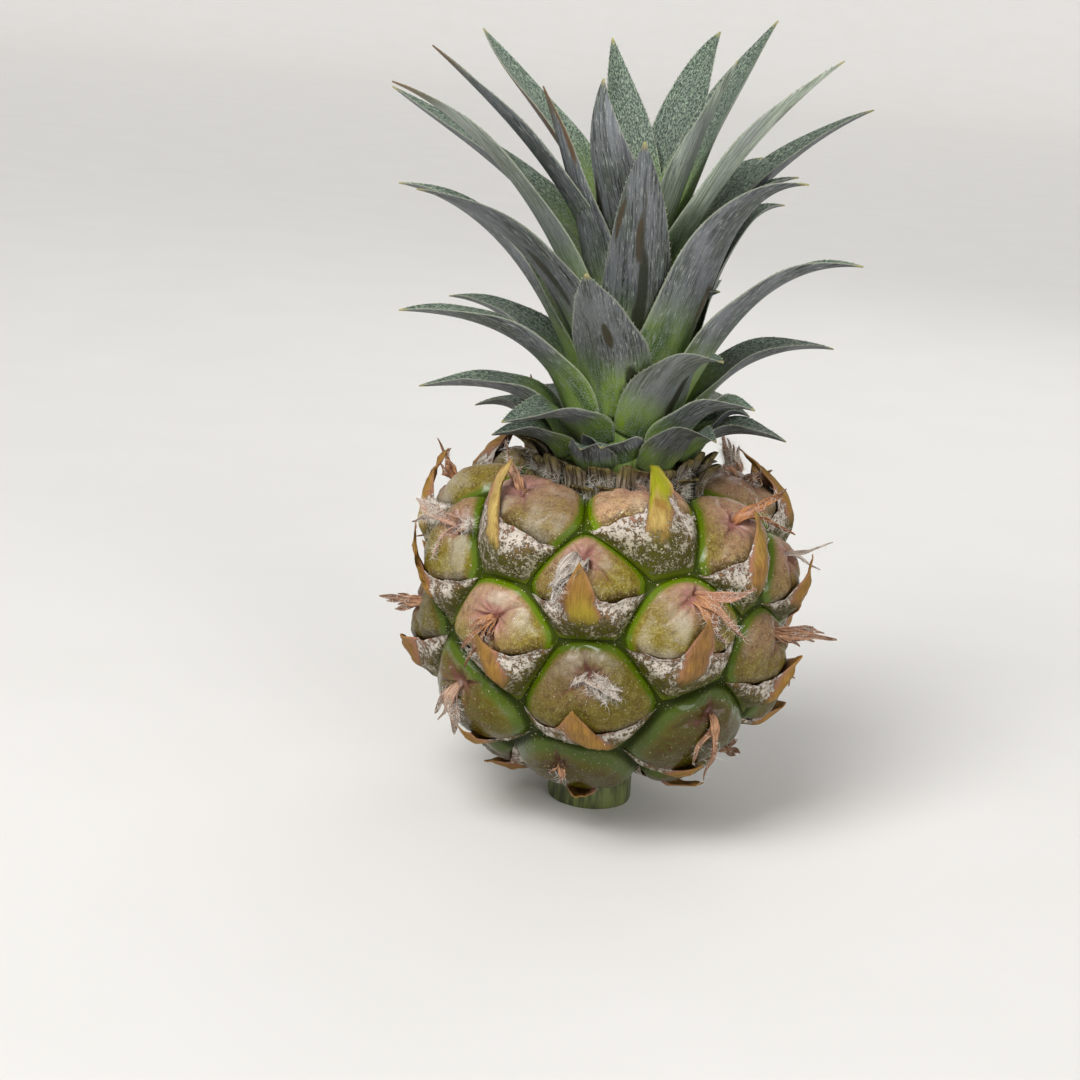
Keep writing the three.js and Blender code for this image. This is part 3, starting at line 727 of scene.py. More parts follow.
def stretched(place, scales):
    """A place with each direction multiplied by its own scale."""
    return add_node(place.tree, "ShaderNodeVectorMath", {"operation": "MULTIPLY"}, {
        0: place, 1: scales})[0]


def streaks(place, scales, detail, roughness=0.5, distortion=0.0):
    """Drawn-out noise, from its scale in each direction."""
    return noise(stretched(place, scales), 1.0, detail, roughness, distortion)


def millimetres(tree):
    """Object coordinates in millimetres."""
    place = add_node(tree, "ShaderNodeTexCoord")["Object"]
    return add_node(tree, "ShaderNodeVectorMath", {"operation": "SCALE"}, {
        0: place, "Scale": 1 / MM})[0]


def surface_place(tree):
    """Millimetres across and along the piece, as its mesh carries them."""
    return add_node(tree, "ShaderNodeUVMap", {"uv_map": SURFACE_MAP})[0]


def measure(tree, key):
    """The number that the mesh carries under a name."""
    return add_node(tree, "ShaderNodeAttribute", {"attribute_name": key})["Fac"]


def measures(tree, key):
    """The three numbers that the mesh carries under one name."""
    colour = add_node(tree, "ShaderNodeAttribute", {"attribute_name": key})["Color"]
    channels = add_node(tree, "ShaderNodeSeparateColor", None, {0: colour})
    return channels[0], channels[1], channels[2]


def blank_material(name):
    """A material without nodes, and its tree."""
    material = bpy.data.materials.new(name)
    material.use_nodes = True
    material.node_tree.nodes.clear()
    return material, material.node_tree


def finish_material(colour, roughness, height, bump_mm, **others):
    """The shader and output: colour, roughness and relief from values, and other inputs."""
    tree = colour.tree
    bump = add_node(tree, "ShaderNodeBump", None, {
        "Height": height, "Strength": 1.0, "Distance": bump_mm * MM})
    inputs = {"Base Color": colour, "Roughness": roughness, "Normal": bump[0]}
    inputs.update({key.replace("_", " "): value for key, value in others.items()})
    shader = add_node(tree, "ShaderNodeBsdfPrincipled", None, inputs)
    add_node(tree, "ShaderNodeOutputMaterial", None, {"Surface": shader[0]})


def rind_material(s):
    """Waxy living fruit skin, grown. To the eye: olive lobes beside tan, rosy ones, brown at the
    foot, pink round the flower, whitish bloom on the shoulders with a painted soft highlight in it,
    wet green along the grooves with painted shade darkening their bottom, painted shade where the
    bract covers the rind, the lower domes painted darker as shade, cream crumbs."""
    material, tree = blank_material("waxy_fruit_rind")
    place = millimetres(tree)
    rim, heart, fold = measures(tree, "rind_zone")
    gloss, light, painted_under_shade = measures(tree, "rind_kind")
    dust, low, rosy = measures(tree, "rind_more")
    patches = noise(place, 0.18, 3.0, 0.55)
    mottle = noise(place, 0.8, 5.0, 0.7)
    grain = noise(place, 2.3, 3.0, 0.65)
    # Olive to rosy ground, browner at the foot, mottled and speckled
    rosy_share = rosy + (patches - 0.5) * 0.9 + (mottle - 0.5) * 0.5
    body = mix(rosy_share.spread(0.10, 0.95), "#84741a", s.rosy_colour)
    body = mix((low + mottle).spread(0.80, 1.5, 0.85), body, "#4a350d")
    body = mix(mottle.spread(0.50, 0.62, 0.6), body, "#604a16")
    body = mix(mottle.spread(0.46, 0.34, 0.6), body, "#b4a65e")
    body = mix(grain.spread(0.53, 0.63, 0.30), body, "#cbbd8c")
    body = mix(grain.spread(0.47, 0.37, 0.30), body, "#544514")
    # Pink round the flower, and the wet skin of the low domes
    body = mix(heart * mottle.spread(0.25, 0.6, 1.0, 0.5), body, s.heart_colour)
    wet = mix((mottle + low * 0.3).spread(0.35, 0.75), "#5e6000", "#683c08")
    body = mix(gloss * 0.85, body, wet)
    # Green along the grooves, with painted shade darkening their bottom
    uneven = rim + (patches - 0.5) * 0.4
    body = mix(uneven.spread(0.04, 0.34, 0.55), body, "#7d7a12")
    body = mix(uneven.spread(0.26, 0.60), body, s.rim_colour)
    body = mix(rim.spread(0.80, 1.0, 0.85), body, "#2b3600")
    # Whitish bloom with a painted soft highlight in it, red-brown seams, and painted shade on the part that
    # the bract hides
    wrinkles = noise(stretched(place, (1.0, 1.0, 2.2)), 2.4, 4.0, 0.75)
    bloom_and_sheen = dust * 0.45 + (patches + wrinkles * 0.8)
    dusty = bloom_and_sheen.spread(1.10, 1.62, 0.8) * dust.spread(0.0, 0.25) * (gloss * -0.5 + 1.0)
    body = mix(dusty, body, "#c2b8a0")
    body = mix(fold.spread(0.3, 1.3, 0.65), body, "#8a5048")
    # Painted shade: near-black where the bract covers the rind
    body = mix(painted_under_shade, body, "#2a2410")
    # Cream crumbs of two sizes
    dots = 0
    for scale, largest, likely in CRUMB_SIZES:
        cells = add_node(tree, "ShaderNodeTexVoronoi", None, {"Vector": place, "Scale": scale})
        luck = add_node(tree, "ShaderNodeSeparateColor", None, {0: cells["Color"]})
        ragged = cells["Distance"] + (grain - 0.5) * 0.8
        size = luck[1].spread(0.0, 1.0, largest, 0.06)
        kept = (luck[0] + patches * 0.6).spread(likely, likely + 0.14, 0.85)
        dots = (ragged - size).spread(0.03, -0.03) * kept + dots
    # The whole dome lighter or darker, its own tone and painted shade that darkens the lower domes, and wet
    # where it is green
    colour = brightened(mix(dots, body, "#d6c89c"), light.spread(0.0, 1.0, 1.30, 0.20))
    dull = mottle.spread(0.3, 0.7, 0.44, 0.28) + dusty * 0.20
    roughness = blend(gloss.combined("MAXIMUM", rim * 0.8), dull, 0.13)
    relief = grain * 0.35 + wrinkles * 0.6 + dots * 1.2 + mottle
    wetness = (gloss * 0.08 + rim.spread(0.15, 0.50, 0.50, 0.22)) * rim.spread(0.98, 0.75)
    finish_material(colour, roughness, relief, 0.18, Specular_IOR_Level=0.10,
                    Coat_Weight=wetness, Coat_Roughness=0.13)
    return material


def bract_material(s):
    """A dry bract, half living: fibrous papery keel between leathery olive wings. To the eye:
    coarse white scurf on the wings, pinkish upper edges, green foot, and a keel that is rosy
    brown, ochre or straw-coloured and here and there still green."""
    material, tree = blank_material("dry_scurfy_bract")
    place = millimetres(tree)
    keel, upward, edge = measures(tree, "bract_zone")
    age, pale, green = measures(tree, "bract_kind")
    patches = noise(place, 0.33, 3.0, 0.55)
    mottle = noise(place, 0.9, 4.0, 0.65)
    grain = noise(place, 3.0, 3.0, 0.7)
    coarse = noise(place, 1.3, 3.0, 0.6)
    fibres = streaks(surface_place(tree), (2.8, 0.30, 1.0), 4.0, 0.6)
    # Wings, and the three colours that a keel has by its paleness
    high = (upward + patches * 0.5).spread(0.45, 1.05)
    wing = mix(high, "#4a480c", "#6f5a36")
    wing = mix(high * (age * 0.55), wing, "#9a7159")
    wing = mix(mottle.spread(0.50, 0.62, 0.7), wing, "#423a12")
    straw = mix(fibres.spread(0.10, 0.80), "#967a3c", s.straw_colour)
    ochre = mix(fibres.spread(0.15, 0.80), "#6f5424", "#a67c3a")
    brown = mix(fibres.spread(0.15, 0.80), "#5a4020", "#9a7142")
    paleness = pale + (patches - 0.5) * 0.9
    ridge = mix(paleness.spread(0.60, 0.95), ochre, straw)
    ridge = mix(paleness.spread(0.45, 0.10), ridge, brown)
    ridge = mix(mottle.spread(0.52, 0.70, 0.5), ridge, "#7a5a2c")
    ridge = mix(green * mottle.spread(0.2, 0.6, 1.0, 0.7), ridge, "#98981a")
    # Keel on wings, its reddish skirt, the pinkish upper edge and the green foot
    keel_share = (keel + mottle * 0.7).spread(0.48, 1.08)
    body = mix(keel_share, wing, ridge)
    skirt = keel.spread(0.04, 0.30) * keel.spread(0.75, 0.35, 0.6) * upward.spread(0.35, 0.70)
    body = mix(skirt, body, "#a5705a")
    body = mix(edge * mottle.spread(0.3, 0.6, 0.9), body, "#b3806e")
    body = mix(upward.spread(0.16, 0.02, 0.8), body, "#525f04")
    # Scurf, thick on the wings and thin on the keel
    cover = high * 0.060 + (patches * 0.40 + age * 0.03)
    cover = cover + keel_share * -0.24 + upward.spread(0.10, 0.0, -0.10, 0.015)
    scurf = (grain * 0.5 + coarse * 0.5 + cover).spread(0.715, 0.790, s.scurf_strength)
    dim = mix(age, "#857c58", "#a0977c")
    chalk = mix(high * coarse.spread(0.42, 0.58, 1.0, 0.55), dim, s.scurf_colour)
    relief = scurf * 1.4 + (fibres + grain) * 0.6
    finish_material(mix(scurf, body, chalk), scurf.spread(0.0, 1.0, 0.85, 0.5), relief, 0.28,
                    Specular_IOR_Level=0.15)
    return material


def flower_material(s):
    """Withered petals and sepals, dried on the plant. To the eye: thin papery curls, orange to
    rusty brown with darker veins, greyish where they have bleached."""
    material, tree = blank_material("withered_flower_paper")
    reach, chance, grey = measures(tree, "flower_zone")
    fibres = streaks(surface_place(tree), (3.4, 0.3, 1.0), 4.0, 0.65)
    mottle = noise(millimetres(tree), 0.9, 3.0)
    dried = mix(fibres.spread(0.36, 0.62), "#7a4420", s.petal_colour)
    dried = mix((reach + mottle).spread(0.75, 1.45, 0.7), dried, "#5c3518")
    dried = mix(chance.spread(0.70, 0.95, 0.55), dried, "#c08a70")
    bleached = mix(fibres.spread(0.3, 0.7), "#5d564e", "#cfc6bb")
    colour = mix(grey, dried, bleached)
    finish_material(colour, mottle.spread(0.2, 0.8, 0.85, 0.55), fibres, 0.16)
    return material


def hair_material(s):
    """Dead plant hairs, air-filled. To the eye: fine white wool, slightly cream, no shine."""
    material, tree = blank_material(HAIR_MATERIAL)
    tone = noise(millimetres(tree), 0.8)
    colour = mix(tone, s.hair_colour, "#fbf8f0")
    finish_material(colour, tone.spread(0.0, 1.0, 0.95, 0.7), tone, 0.01)
    return material


def scurf_material(s):
    """Peeling scale hairs. To the eye: chalky off-white to warm grey crumbs with no shine."""
    material, tree = blank_material("chalky_scurf_flakes")
    tone = noise(millimetres(tree), 1.6)
    colour = mix(tone.spread(0.35, 0.65), "#b8ad96", s.scurf_colour)
    finish_material(colour, tone.spread(0.0, 1.0, 0.95, 0.75), tone, 0.02)
    return material


def leaf_material(s):
    """A living crown leaf, grown, coated with flat scale hairs. To the eye: grey back with fine
    long stripes, paler and greener on a few leaves, dark green face under a worm-like pale mottle,
    fresh green base, pale margins, straw tips, and rubbed streaks where the coat has gone."""
    material, tree = blank_material("scurfy_crown_leaf")
    surface = surface_place(tree)
    reach, across, face = measures(tree, "leaf_zone")
    chance, low, brown = measures(tree, "leaf_kind")
    rubbed, dried, pale = measures(tree, "leaf_mark")
    stripes = streaks(surface, (3.0, 0.06, 1.0), 4.0, 0.75)
    scratches = streaks(surface, (5.0, 0.35, 1.0), 3.0, 0.7)
    worms = streaks(surface, (4.8, 1.7, 1.0), 2.0, 0.6, 0.9)
    clouds = streaks(surface, (0.22, 0.07, 1.0), 3.0)
    grain = noise(surface, 3.4, 3.0, 0.7)
    # Striped, scratched and clouded back, and mottled face
    back = mix(stripes.spread(0.44, 0.52), "#282c28", s.back_colour)
    pale_back = mix(stripes.spread(0.42, 0.56), "#77856c", "#b9c2b4")
    back = mix(pale, back, pale_back)
    back = mix(scratches.spread(0.53, 0.64, 0.7), back, "#9fa2a6")
    back = mix(clouds.spread(0.45, 0.70, 0.5), back, "#7f8288")
    back = mix(clouds.spread(0.46, 0.34, 0.45), back, "#3f4a36")
    front = mix(worms.spread(0.49, 0.57), s.face_colour, "#84957f")
    leaf = mix(face, back, front)
    # Fresh base, then flecks of scurf, rounder near it
    fresh = mix(clouds.spread(0.35, 0.60), "#40600a", s.base_colour)
    base_share = (reach + clouds * 0.22 + face * -0.10).spread(0.52, 0.18)
    leaf = mix(base_share, leaf, fresh)
    flecks = blend(base_share * 0.45 + 0.2, scratches, grain)
    flecks = (flecks + base_share * 0.05).spread(0.52, 0.62, 0.65)
    leaf = mix(flecks, leaf, "#a9b0a6")
    # Rubbed streaks, pale margins and the dry tip
    rub = mix(dried, "#1d230a", "#66492c")
    rub_share = (rubbed + (stripes + clouds + scratches) * 0.5).spread(0.88, 1.22, 0.92)
    leaf = mix(rub_share * rubbed.spread(0.02, 0.3), leaf, rub)
    leaf = mix(across.spread(0.95, 1.0, 0.45), leaf, "#a9ad98")
    straw = mix(brown, "#a39a62", "#6d5334")
    tip_from = brown.spread(0.0, 1.0, 0.80, 0.955)
    leaf = mix(reach.spread(tip_from, 1.0, 0.9), leaf, straw)
    factor = chance.spread(0.0, 1.0, 1.18, 0.84) * low.spread(0.0, 1.0, 0.72, 1.0)
    relief = stripes + flecks + scratches * 0.6
    finish_material(brightened(leaf, factor), stripes.spread(0.0, 1.0, 0.68, 0.44), relief, 0.14)
    return material


def tooth_material(s):
    """Horny leaf teeth, grown. To the eye: tiny pale straw points."""
    material, tree = blank_material("horny_leaf_tooth")
    tone = noise(millimetres(tree), 0.7)
    colour = mix(tone, "#7f8468", s.tooth_colour)
    finish_material(colour, tone.spread(0.0, 1.0, 0.6, 0.35), tone, 0.01)
    return material


def collar_material(s):
    """Dead scale leaves at the crown's foot. To the eye: pale grey-brown with dark brown fibres
    and olive brown rounded tips."""
    material, tree = blank_material("dead_collar_scale")
    surface = surface_place(tree)
    reach = measure(tree, "collar_reach")
    fibres = streaks(surface, (2.6, 0.12, 1.0), 3.0, 0.6)
    clouds = noise(surface, 0.5, 3.0)
    scale = mix(fibres.spread(0.42, 0.58), "#33291a", s.collar_colour)
    scale = mix(clouds.spread(0.48, 0.66, 0.7), scale, "#5a4527")
    tips = mix(fibres.spread(0.40, 0.60), "#3a2f10", "#6f6130")
    scale = mix((reach + clouds * 0.3).spread(0.72, 1.02), scale, tips)
    finish_material(scale, fibres.spread(0.0, 1.0, 0.85, 0.6), fibres, 0.3)
    return material


def stalk_material(name, skin, pale):
    """A green plant stem, freshly cut. To the eye: dull green skin with long paler ribs, and a
    cream cut face with fibre ends."""
    material, tree = blank_material(name)
    place = millimetres(tree)
    ribs = streaks(place, (0.8, 0.8, 0.12), 4.0, 0.6)
    fibres = add_node(tree, "ShaderNodeTexVoronoi", None, {"Vector": place, "Scale": 1.6})
    flesh = mix(fibres["Distance"].spread(0.30, 0.12, 0.6), "#c8bd8e", "#8b7a44")
    colour = mix(measure(tree, "cut_face"), mix(ribs.spread(0.38, 0.66), skin, pale), flesh)
    finish_material(colour, ribs.spread(0.0, 1.0, 0.7, 0.45), ribs, 0.25)
    return material


# Rind


def border_points(cell, spacing):
    """Directions along a cell's outline; cells that share an edge place the same ones on it."""
    points = []
    for i, corner in enumerate(cell.corners):
        following = cell.corners[(i + 1) % len(cell.corners)]
        length = math.acos(min(1, corner @ following)) * SPHERE_RADIUS
        count = max(1, math.ceil(length / spacing))
        t = (np.arange(count) / count)[:, None]
        points.append(unit(corner * (1 - t) + following * t))
    return np.concatenate(points)


def cell_skin(cell, spacing, rings):
    """A cell's directions in rings from its outline to its flower, and their faces."""
    border = border_points(cell, spacing)
    count = len(border)
    spreads = 1 - (np.arange(rings) / rings) ** RING_CROWDING
    layers = unit(cell.flower + (border - cell.flower) * spreads[:, None, None])
    directions = np.concatenate([layers.reshape(-1, 3), cell.flower[None]])
    index = np.arange(rings * count).reshape(rings, count)
    turned = np.roll(index, -1, axis=1)
    quads = np.stack([index[:-1], turned[:-1], turned[1:], index[1:]], -1).reshape(-1, 4)
    fan = [[a, b, rings * count] for a, b in zip(index[-1], turned[-1])]
    return directions, quads.tolist() + fan


def weld(points, faces, values):
    """Makes points at the same place one, with the larger of their values."""
    keys = np.round(points * WELD_STEPS).astype(np.int64)
    _, first, place = np.unique(keys, axis=0, return_index=True, return_inverse=True)
    place = place.reshape(-1)
    merged = []
    for value in values:
        most = np.full(len(first), -np.inf)
        np.maximum.at(most, place, value)
        merged.append(most)
    return points[first], [[place[i] for i in face] for face in faces], merged


def rind_surface(s):
    """The whole rind: points, faces, and the values that its colours follow."""
    points, faces, zones, first = [], [], [], 0
    for cell in CELLS:
        directions, cell_faces = cell_skin(cell, s.border_spacing / MM, s.rings)
        height, folds = dome_relief(cell, directions)
        edge = cell.edge_distance(directions)
        zero = np.zeros_like(edge)
        if cell.seat:
            # The seats of the stalk and the crown are painted dark, as shade under them
            rim, painted_under_shade = 0.3 * np.exp(-edge / 2), zero + 0.8
            heart = dust = low = rosy = zero
        else:
            across, upward = np.moveaxis(cell.flat(directions), -1, 0)
            x, y = across - cell.heart[0], upward - cell.heart[1]
            over, radius = upward - cell.bract_line(across), np.hypot(x, y)
            rim = np.exp(-(edge / (1.15 + 1.7 * cell.gloss)) ** 2) * step_between(over, -1.5, 0.5)
            heart = np.exp(-(radius / cell.pink) ** 2)
            # Whitish dust on one side of the dome, partly real bloom and partly a painted soft highlight
            side = math.radians(cell.dust_side)
            dust = (cell.dust * step_between(edge, 1.0, 2.2) * step_between(radius, 1.5, 3.5)
                    * step_between(x * math.cos(side) + y * math.sin(side), -2.5, 3.0))
            # Painted shade on the rind under the bract's edge
            painted_under_shade = step_between(over, 0.2, -1.2)
            low = step_between(over, 3.6, 0.2)
            main = math.radians(cell.seams[0])
            lobe = np.tanh((y * math.cos(main) - x * math.sin(main)) / 1.5)
            rosy = np.clip(cell.rosy + 0.05 * y + 0.30 * lobe, 0, 1.2)
        points.append(over_fruit(directions, height))
        faces += [[i + first for i in face] for face in cell_faces]
        zones.append([rim, heart, folds, zero + cell.gloss, zero + cell.light, painted_under_shade,
                      dust, low, rosy])
        first += len(directions)
    values = [np.concatenate(column) for column in zip(*zones)]
    return weld(np.concatenate(points), faces, values)


# Bracts


def keel_of(cell):
    """A bract's keel: the place of its tip, how far that stands out, its foot, half its width."""
    usual = (5 * (draw(cell.number, 61) - 0.5), -7 + 8.5 * cell.height_share,
             0.4 + 2.2 * cell.height_share, 4 * (draw(cell.number, 63) - 0.5), 2.7)
    return BRACT_KEELS.get(cell.number, usual)


def bract_blade(cell, s, gatherer):
    """One bract: wings over the lower part of its cell, and a keel that ends in a free tip."""
    tip_x, tip_y, stand, foot_x, keel_half = keel_of(cell)
    chain = cell.under_line
    lengths = np.concatenate([[0], np.cumsum(np.hypot(*np.diff(chain, axis=0).T))])
    lengths = lengths / lengths[-1]
    inner = np.linspace(-1, 1, s.columns)
    v = BRACT_REACH * np.sign(inner) * np.abs(inner) ** COLUMN_CROWDING
    foot = np.interp(foot_x, chain[:, 0], lengths)
    w = np.where(v < 0, foot * (1 + v), foot + (1 - foot) * v)
    low = np.stack([np.interp(w, lengths, chain[:, i]) for i in (0, 1)], -1)
    side = np.where(v < 0, chain[0, 0], chain[-1, 0])
    top_x = tip_x + (side - tip_x) * np.abs(v)
    aside = np.abs(top_x - tip_x)
    tongue = np.clip(1 - aside / keel_half, 0, 1)
    top_y = cell.bract_line(top_x) + 0.5 * wobble(top_x, 0 * top_x, cell.number + 20, 6)
    top_y = top_y + (tip_y - cell.bract_line(tip_x)) * tongue ** 0.85
    top_y = top_y + 0.8 * np.exp(-(aside / (1.5 * keel_half)) ** 2)
    t = np.linspace(0, 1, s.rows)[:, None]
    x = low[:, 0] + (top_x - low[:, 0]) * t
    y = low[:, 1] + (top_y - low[:, 1]) * t
    directions = cell.towards(x, y)
    edge = cell.edge_distance(directions)
    breadth = keel_half * (0.55 + 0.45 * step_between(t, 0.0, 0.5))
    offset = (x - x[:, s.columns // 2][:, None] + 0.35 * wobble(y, 0 * y, cell.number + 33, 5)) / breadth
    lateral = np.abs(offset)
    near_keel = np.clip(1 - lateral / 1.4, 0, 1)
    ridge = np.clip(1 - lateral ** 1.8, 0, 1) * (0.15 + 0.85 * step_between(t, 0.05, 0.6))
    pleats = 0.10 * np.cos(7.5 * offset + 3 * draw(cell.number, 64)) * np.clip(1.2 - lateral, 0, 1)
    free = np.clip((t - 0.45) / 0.55, 0, 1) ** 1.5 * np.clip(1 - lateral / 1.2, 0, 1)
    dip = 0.9 * step_between(t, 0.4, 0.95) * (1 - near_keel)
    lip = np.exp(-((1 - t) / 0.08) ** 2) * (0.45 + 0.3 * wobble(x, y, cell.number + 30, 5))
    crumple = 0.22 * wobble(x, y, cell.number + 31, 4.2) + 0.13 * wobble(x, 0.5 * y, cell.number + 32, 1.7)
    rise = cushion(edge) - dip + lip + crumple * step_between(edge, 0.2, 2) + 0.12
    rise = np.maximum(rise, dome_relief(cell, directions)[0] + 0.15)
    rise = rise + s.keel_height / MM * ridge + pleats * step_between(t, 0.1, 0.4) + stand * free
    thickness = s.thickness / MM * (0.35 + 0.65 * step_between(edge, 0.2, 2.0)) * (1 - 0.45 * t)
    front = over_fruit(directions, rise)
    back = over_fruit(directions, rise - thickness)
    keel = np.clip(1 - (lateral / 1.1) ** 2, 0, 1) * step_between(t, 0.10, 0.62)
    rim = np.exp(-((1 - t) / 0.13) ** 2) * np.clip(lateral / 1.2, 0, 1)
    tip_green, foot_green = KEEL_GREEN.get(cell.number, (0, 0))
    green = tip_green * step_between(t, 0.55, 0.72) + foot_green * step_between(t, 0.8, 0.45)
    gatherer.add_blade(
        front, back, keel=keel, upward=t, edge=rim, green=green, age=cell.height_share,
        pale=KEEL_PALE.get(cell.number, USUAL_PALE), outer=FRONT_ONLY, u=x, v=y)


# Withered flowers


def flower_strips(cell):
    """(direction, length, standing angle, width) of each of a flower's strips."""
    if cell.number in FLOWER_STRIPS:
        return FLOWER_STRIPS[cell.number]
    lean, item = 360 * draw(cell.number, 2), cell.number
    length = USUAL_FLOWER_LENGTH * (0.8 + 0.5 * draw(item, 3)) * (0.5 if item < -21 else 1)
    return [(lean + 55 * (i - 1.5) * draw(item, 4 + i), length * (1 - 0.35 * draw(item, 8 + i)),
             15 + 45 * draw(item, 12 + i), 1.6 + 0.9 * draw(item, 16 + i))
            for i in range(USUAL_STRIPS)]


def strip_blade(cell, which, strip, s, gatherer):
    """One dry curled strip that leaves the pit, bends over and twists to a ragged point."""
    heading, length, standing, width = strip
    item = cell.number * 7 + which
    root = (cell.heart[0] + STRIP_ROOT * math.cos(math.radians(heading)),
            cell.heart[1] + STRIP_ROOT * math.sin(math.radians(heading)))
    direction = cell.towards(*root)
    outward, upward = (float(value) for value in outward_at(direction))
    azimuth = math.atan2(direction[0], -direction[1])
    normal = np.array([outward * math.sin(azimuth), -outward * math.cos(azimuth), upward])
    right = np.array([math.cos(azimuth), math.sin(azimuth), 0.0])
    above = np.cross(normal, right)
    steps = np.linspace(0, 1, s.strip_rows)
    curl = 60 * (draw(item, 21) - 0.5)
    settled = step_between(steps, 0, 0.3)
    lift = np.radians(STRIP_RISES_AT + (standing - STRIP_RISES_AT) * settled + curl * steps ** 2
                      + 12 * np.sin(9 * steps + 6 * draw(item, 22)))
    turn = np.radians(heading + 44 * (draw(item, 23) - 0.5) * steps ** 2
                      + 9 * np.sin(7 * steps + 6 * draw(item, 24)))
    ahead = (np.cos(lift)[:, None] * (np.cos(turn)[:, None] * right + np.sin(turn)[:, None] * above)
             + np.sin(lift)[:, None] * normal)
    start = over_fruit(direction, dome_relief(cell, direction)[0] - STRIP_SUNK)
    walked = np.concatenate([[np.zeros(3)], np.cumsum(ahead[:-1], axis=0)])
    line = start + walked * length / (s.strip_rows - 1)
    side = unit(np.cross(ahead, normal) + 1e-3 * right)
    cap = np.cross(side, ahead)
    twist = math.pi * (draw(item, 25) - 0.5) * 1.3 * steps + 0.6 * (draw(item, 26) - 0.5)
    across = side * np.cos(twist)[:, None] + cap * np.sin(twist)[:, None]
    facing = np.cross(across, ahead)
    profile = (0.5 + 0.5 * np.sin(math.pi * steps ** 0.8)) * np.clip(1.02 - steps, 0, 1) ** 0.4
    half = 0.5 * width * profile * (1 + 0.20 * np.sin(11 * steps + 6 * draw(item, 28)))
    v = np.linspace(-1, 1, STRIP_COLUMNS)
    roll = 0.45 + 0.6 * draw(item, 29)
    fold = roll * half[:, None] * v ** 2 + 0.16 * half[:, None] * np.cos(3 * math.pi * v)
    crumple = 0.16 * np.sin(13 * steps[:, None] + 3.1 * v * (1 + draw(item, 30)) + 6 * draw(item, 31))
    middle = (line[:, None] + across[:, None] * (half[:, None] * v)[..., None]
              + facing[:, None] * (fold + crumple * half[:, None])[..., None])
    thick = s.strip_thickness / MM * (1 - 0.5 * steps)[:, None, None]
    front, back = middle + facing[:, None] * thick / 2, middle - facing[:, None] * thick / 2
    fuzz = FLOWER_FUZZ.get(cell.number, USUAL_FUZZ) * step_between(steps, 0.1, 0.6)
    gatherer.add_blade(
        front, back, reach=steps[:, None], chance=draw(item, 32),
        grey=FLOWER_GREY.get(cell.number, USUAL_GREY), fuzz=fuzz[:, None],
        u=half[:, None] * v + 3 * draw(item, 33), v=steps[:, None] * length)


# Crown


def leaf_frame(leaf, steps):
    """Points along a leaf's middle, with its side and inward directions, and its width."""
    place = leaf / (LEAF_COUNT - 1)
    turn, outward, upward, leaning = (*LEAF_NUDGES.get(leaf, (0, 0, 0)), 0)[:4]
    base = np.array([along(BASE_RADII, place), LOWEST_BASE + BASE_CLIMB * place ** BASE_CLIMB_POWER])
    tip = np.array([along(TIP_RADII, place) + outward, along(TIP_HEIGHTS, place) + upward])
    length = math.dist(base, tip)
    growth = min(1, leaf / GROWN_LEAF)
    base_angle = math.radians(along(BASE_ANGLES, place))
    tip_angle = math.radians(along(TIP_ANGLES, place) + leaning)
    base_reach = (BASE_HANDLES[0] + (BASE_HANDLES[1] - BASE_HANDLES[0]) * growth) * length
    tip_reach = (TIP_HANDLES[0] + (TIP_HANDLES[1] - TIP_HANDLES[0]) * growth) * length
    base_handle = base + base_reach * np.array([math.sin(base_angle), math.cos(base_angle)])
    tip_handle = tip - tip_reach * np.array([math.sin(tip_angle), math.cos(tip_angle)])
    t = steps[:, None]
    curve = ((1 - t) ** 3 * base + 3 * (1 - t) ** 2 * t * base_handle
             + 3 * (1 - t) * t ** 2 * tip_handle + t ** 3 * tip)
    azimuth = (math.radians(FIRST_LEAF_AZIMUTH + LEAF_TURN * leaf)
               + math.radians(turn) * (0.4 + 0.6 * steps))
    line = np.stack([curve[:, 0] * np.sin(azimuth), -curve[:, 0] * np.cos(azimuth),
                     FRUIT_CENTRE + curve[:, 1]], -1)
    ahead = unit(np.gradient(line, steps, axis=0))
    side = np.stack([np.cos(azimuth), np.sin(azimuth), 0 * azimuth], -1)
    side = unit(side - ahead * np.sum(side * ahead, axis=-1, keepdims=True))
    return line, side, np.cross(ahead, side), float(along(LEAF_WIDTHS, place))


def streak_values(leaf, reach, across, face):
    """How rubbed and how dried each point of a leaf is."""
    rubbed, dried = np.zeros_like(reach), np.zeros_like(reach)
    for start, end, middle, half, brown in LEAF_STREAKS.get(leaf, []):
        ragged = 0.10 * wobble(across, 0.4 * reach, leaf, 0.7)
        inside = (step_between(reach + ragged, start - 0.06, start + 0.10)
                  * step_between(reach + ragged, end + 0.06, end - 0.10)
                  * np.exp(-((across - middle + 0.04 * np.sin(17 * reach + leaf)) / half) ** 2))
        dried = np.where(inside > rubbed, brown, dried)
        rubbed = np.maximum(rubbed, inside)
    return rubbed * (1 - face), dried


def leaf_steps(rows):
    """Places along a leaf, closer together towards its tip."""
    even = np.linspace(0, 1, rows)
    return even + 0.12 * np.sin(math.pi * even) * even


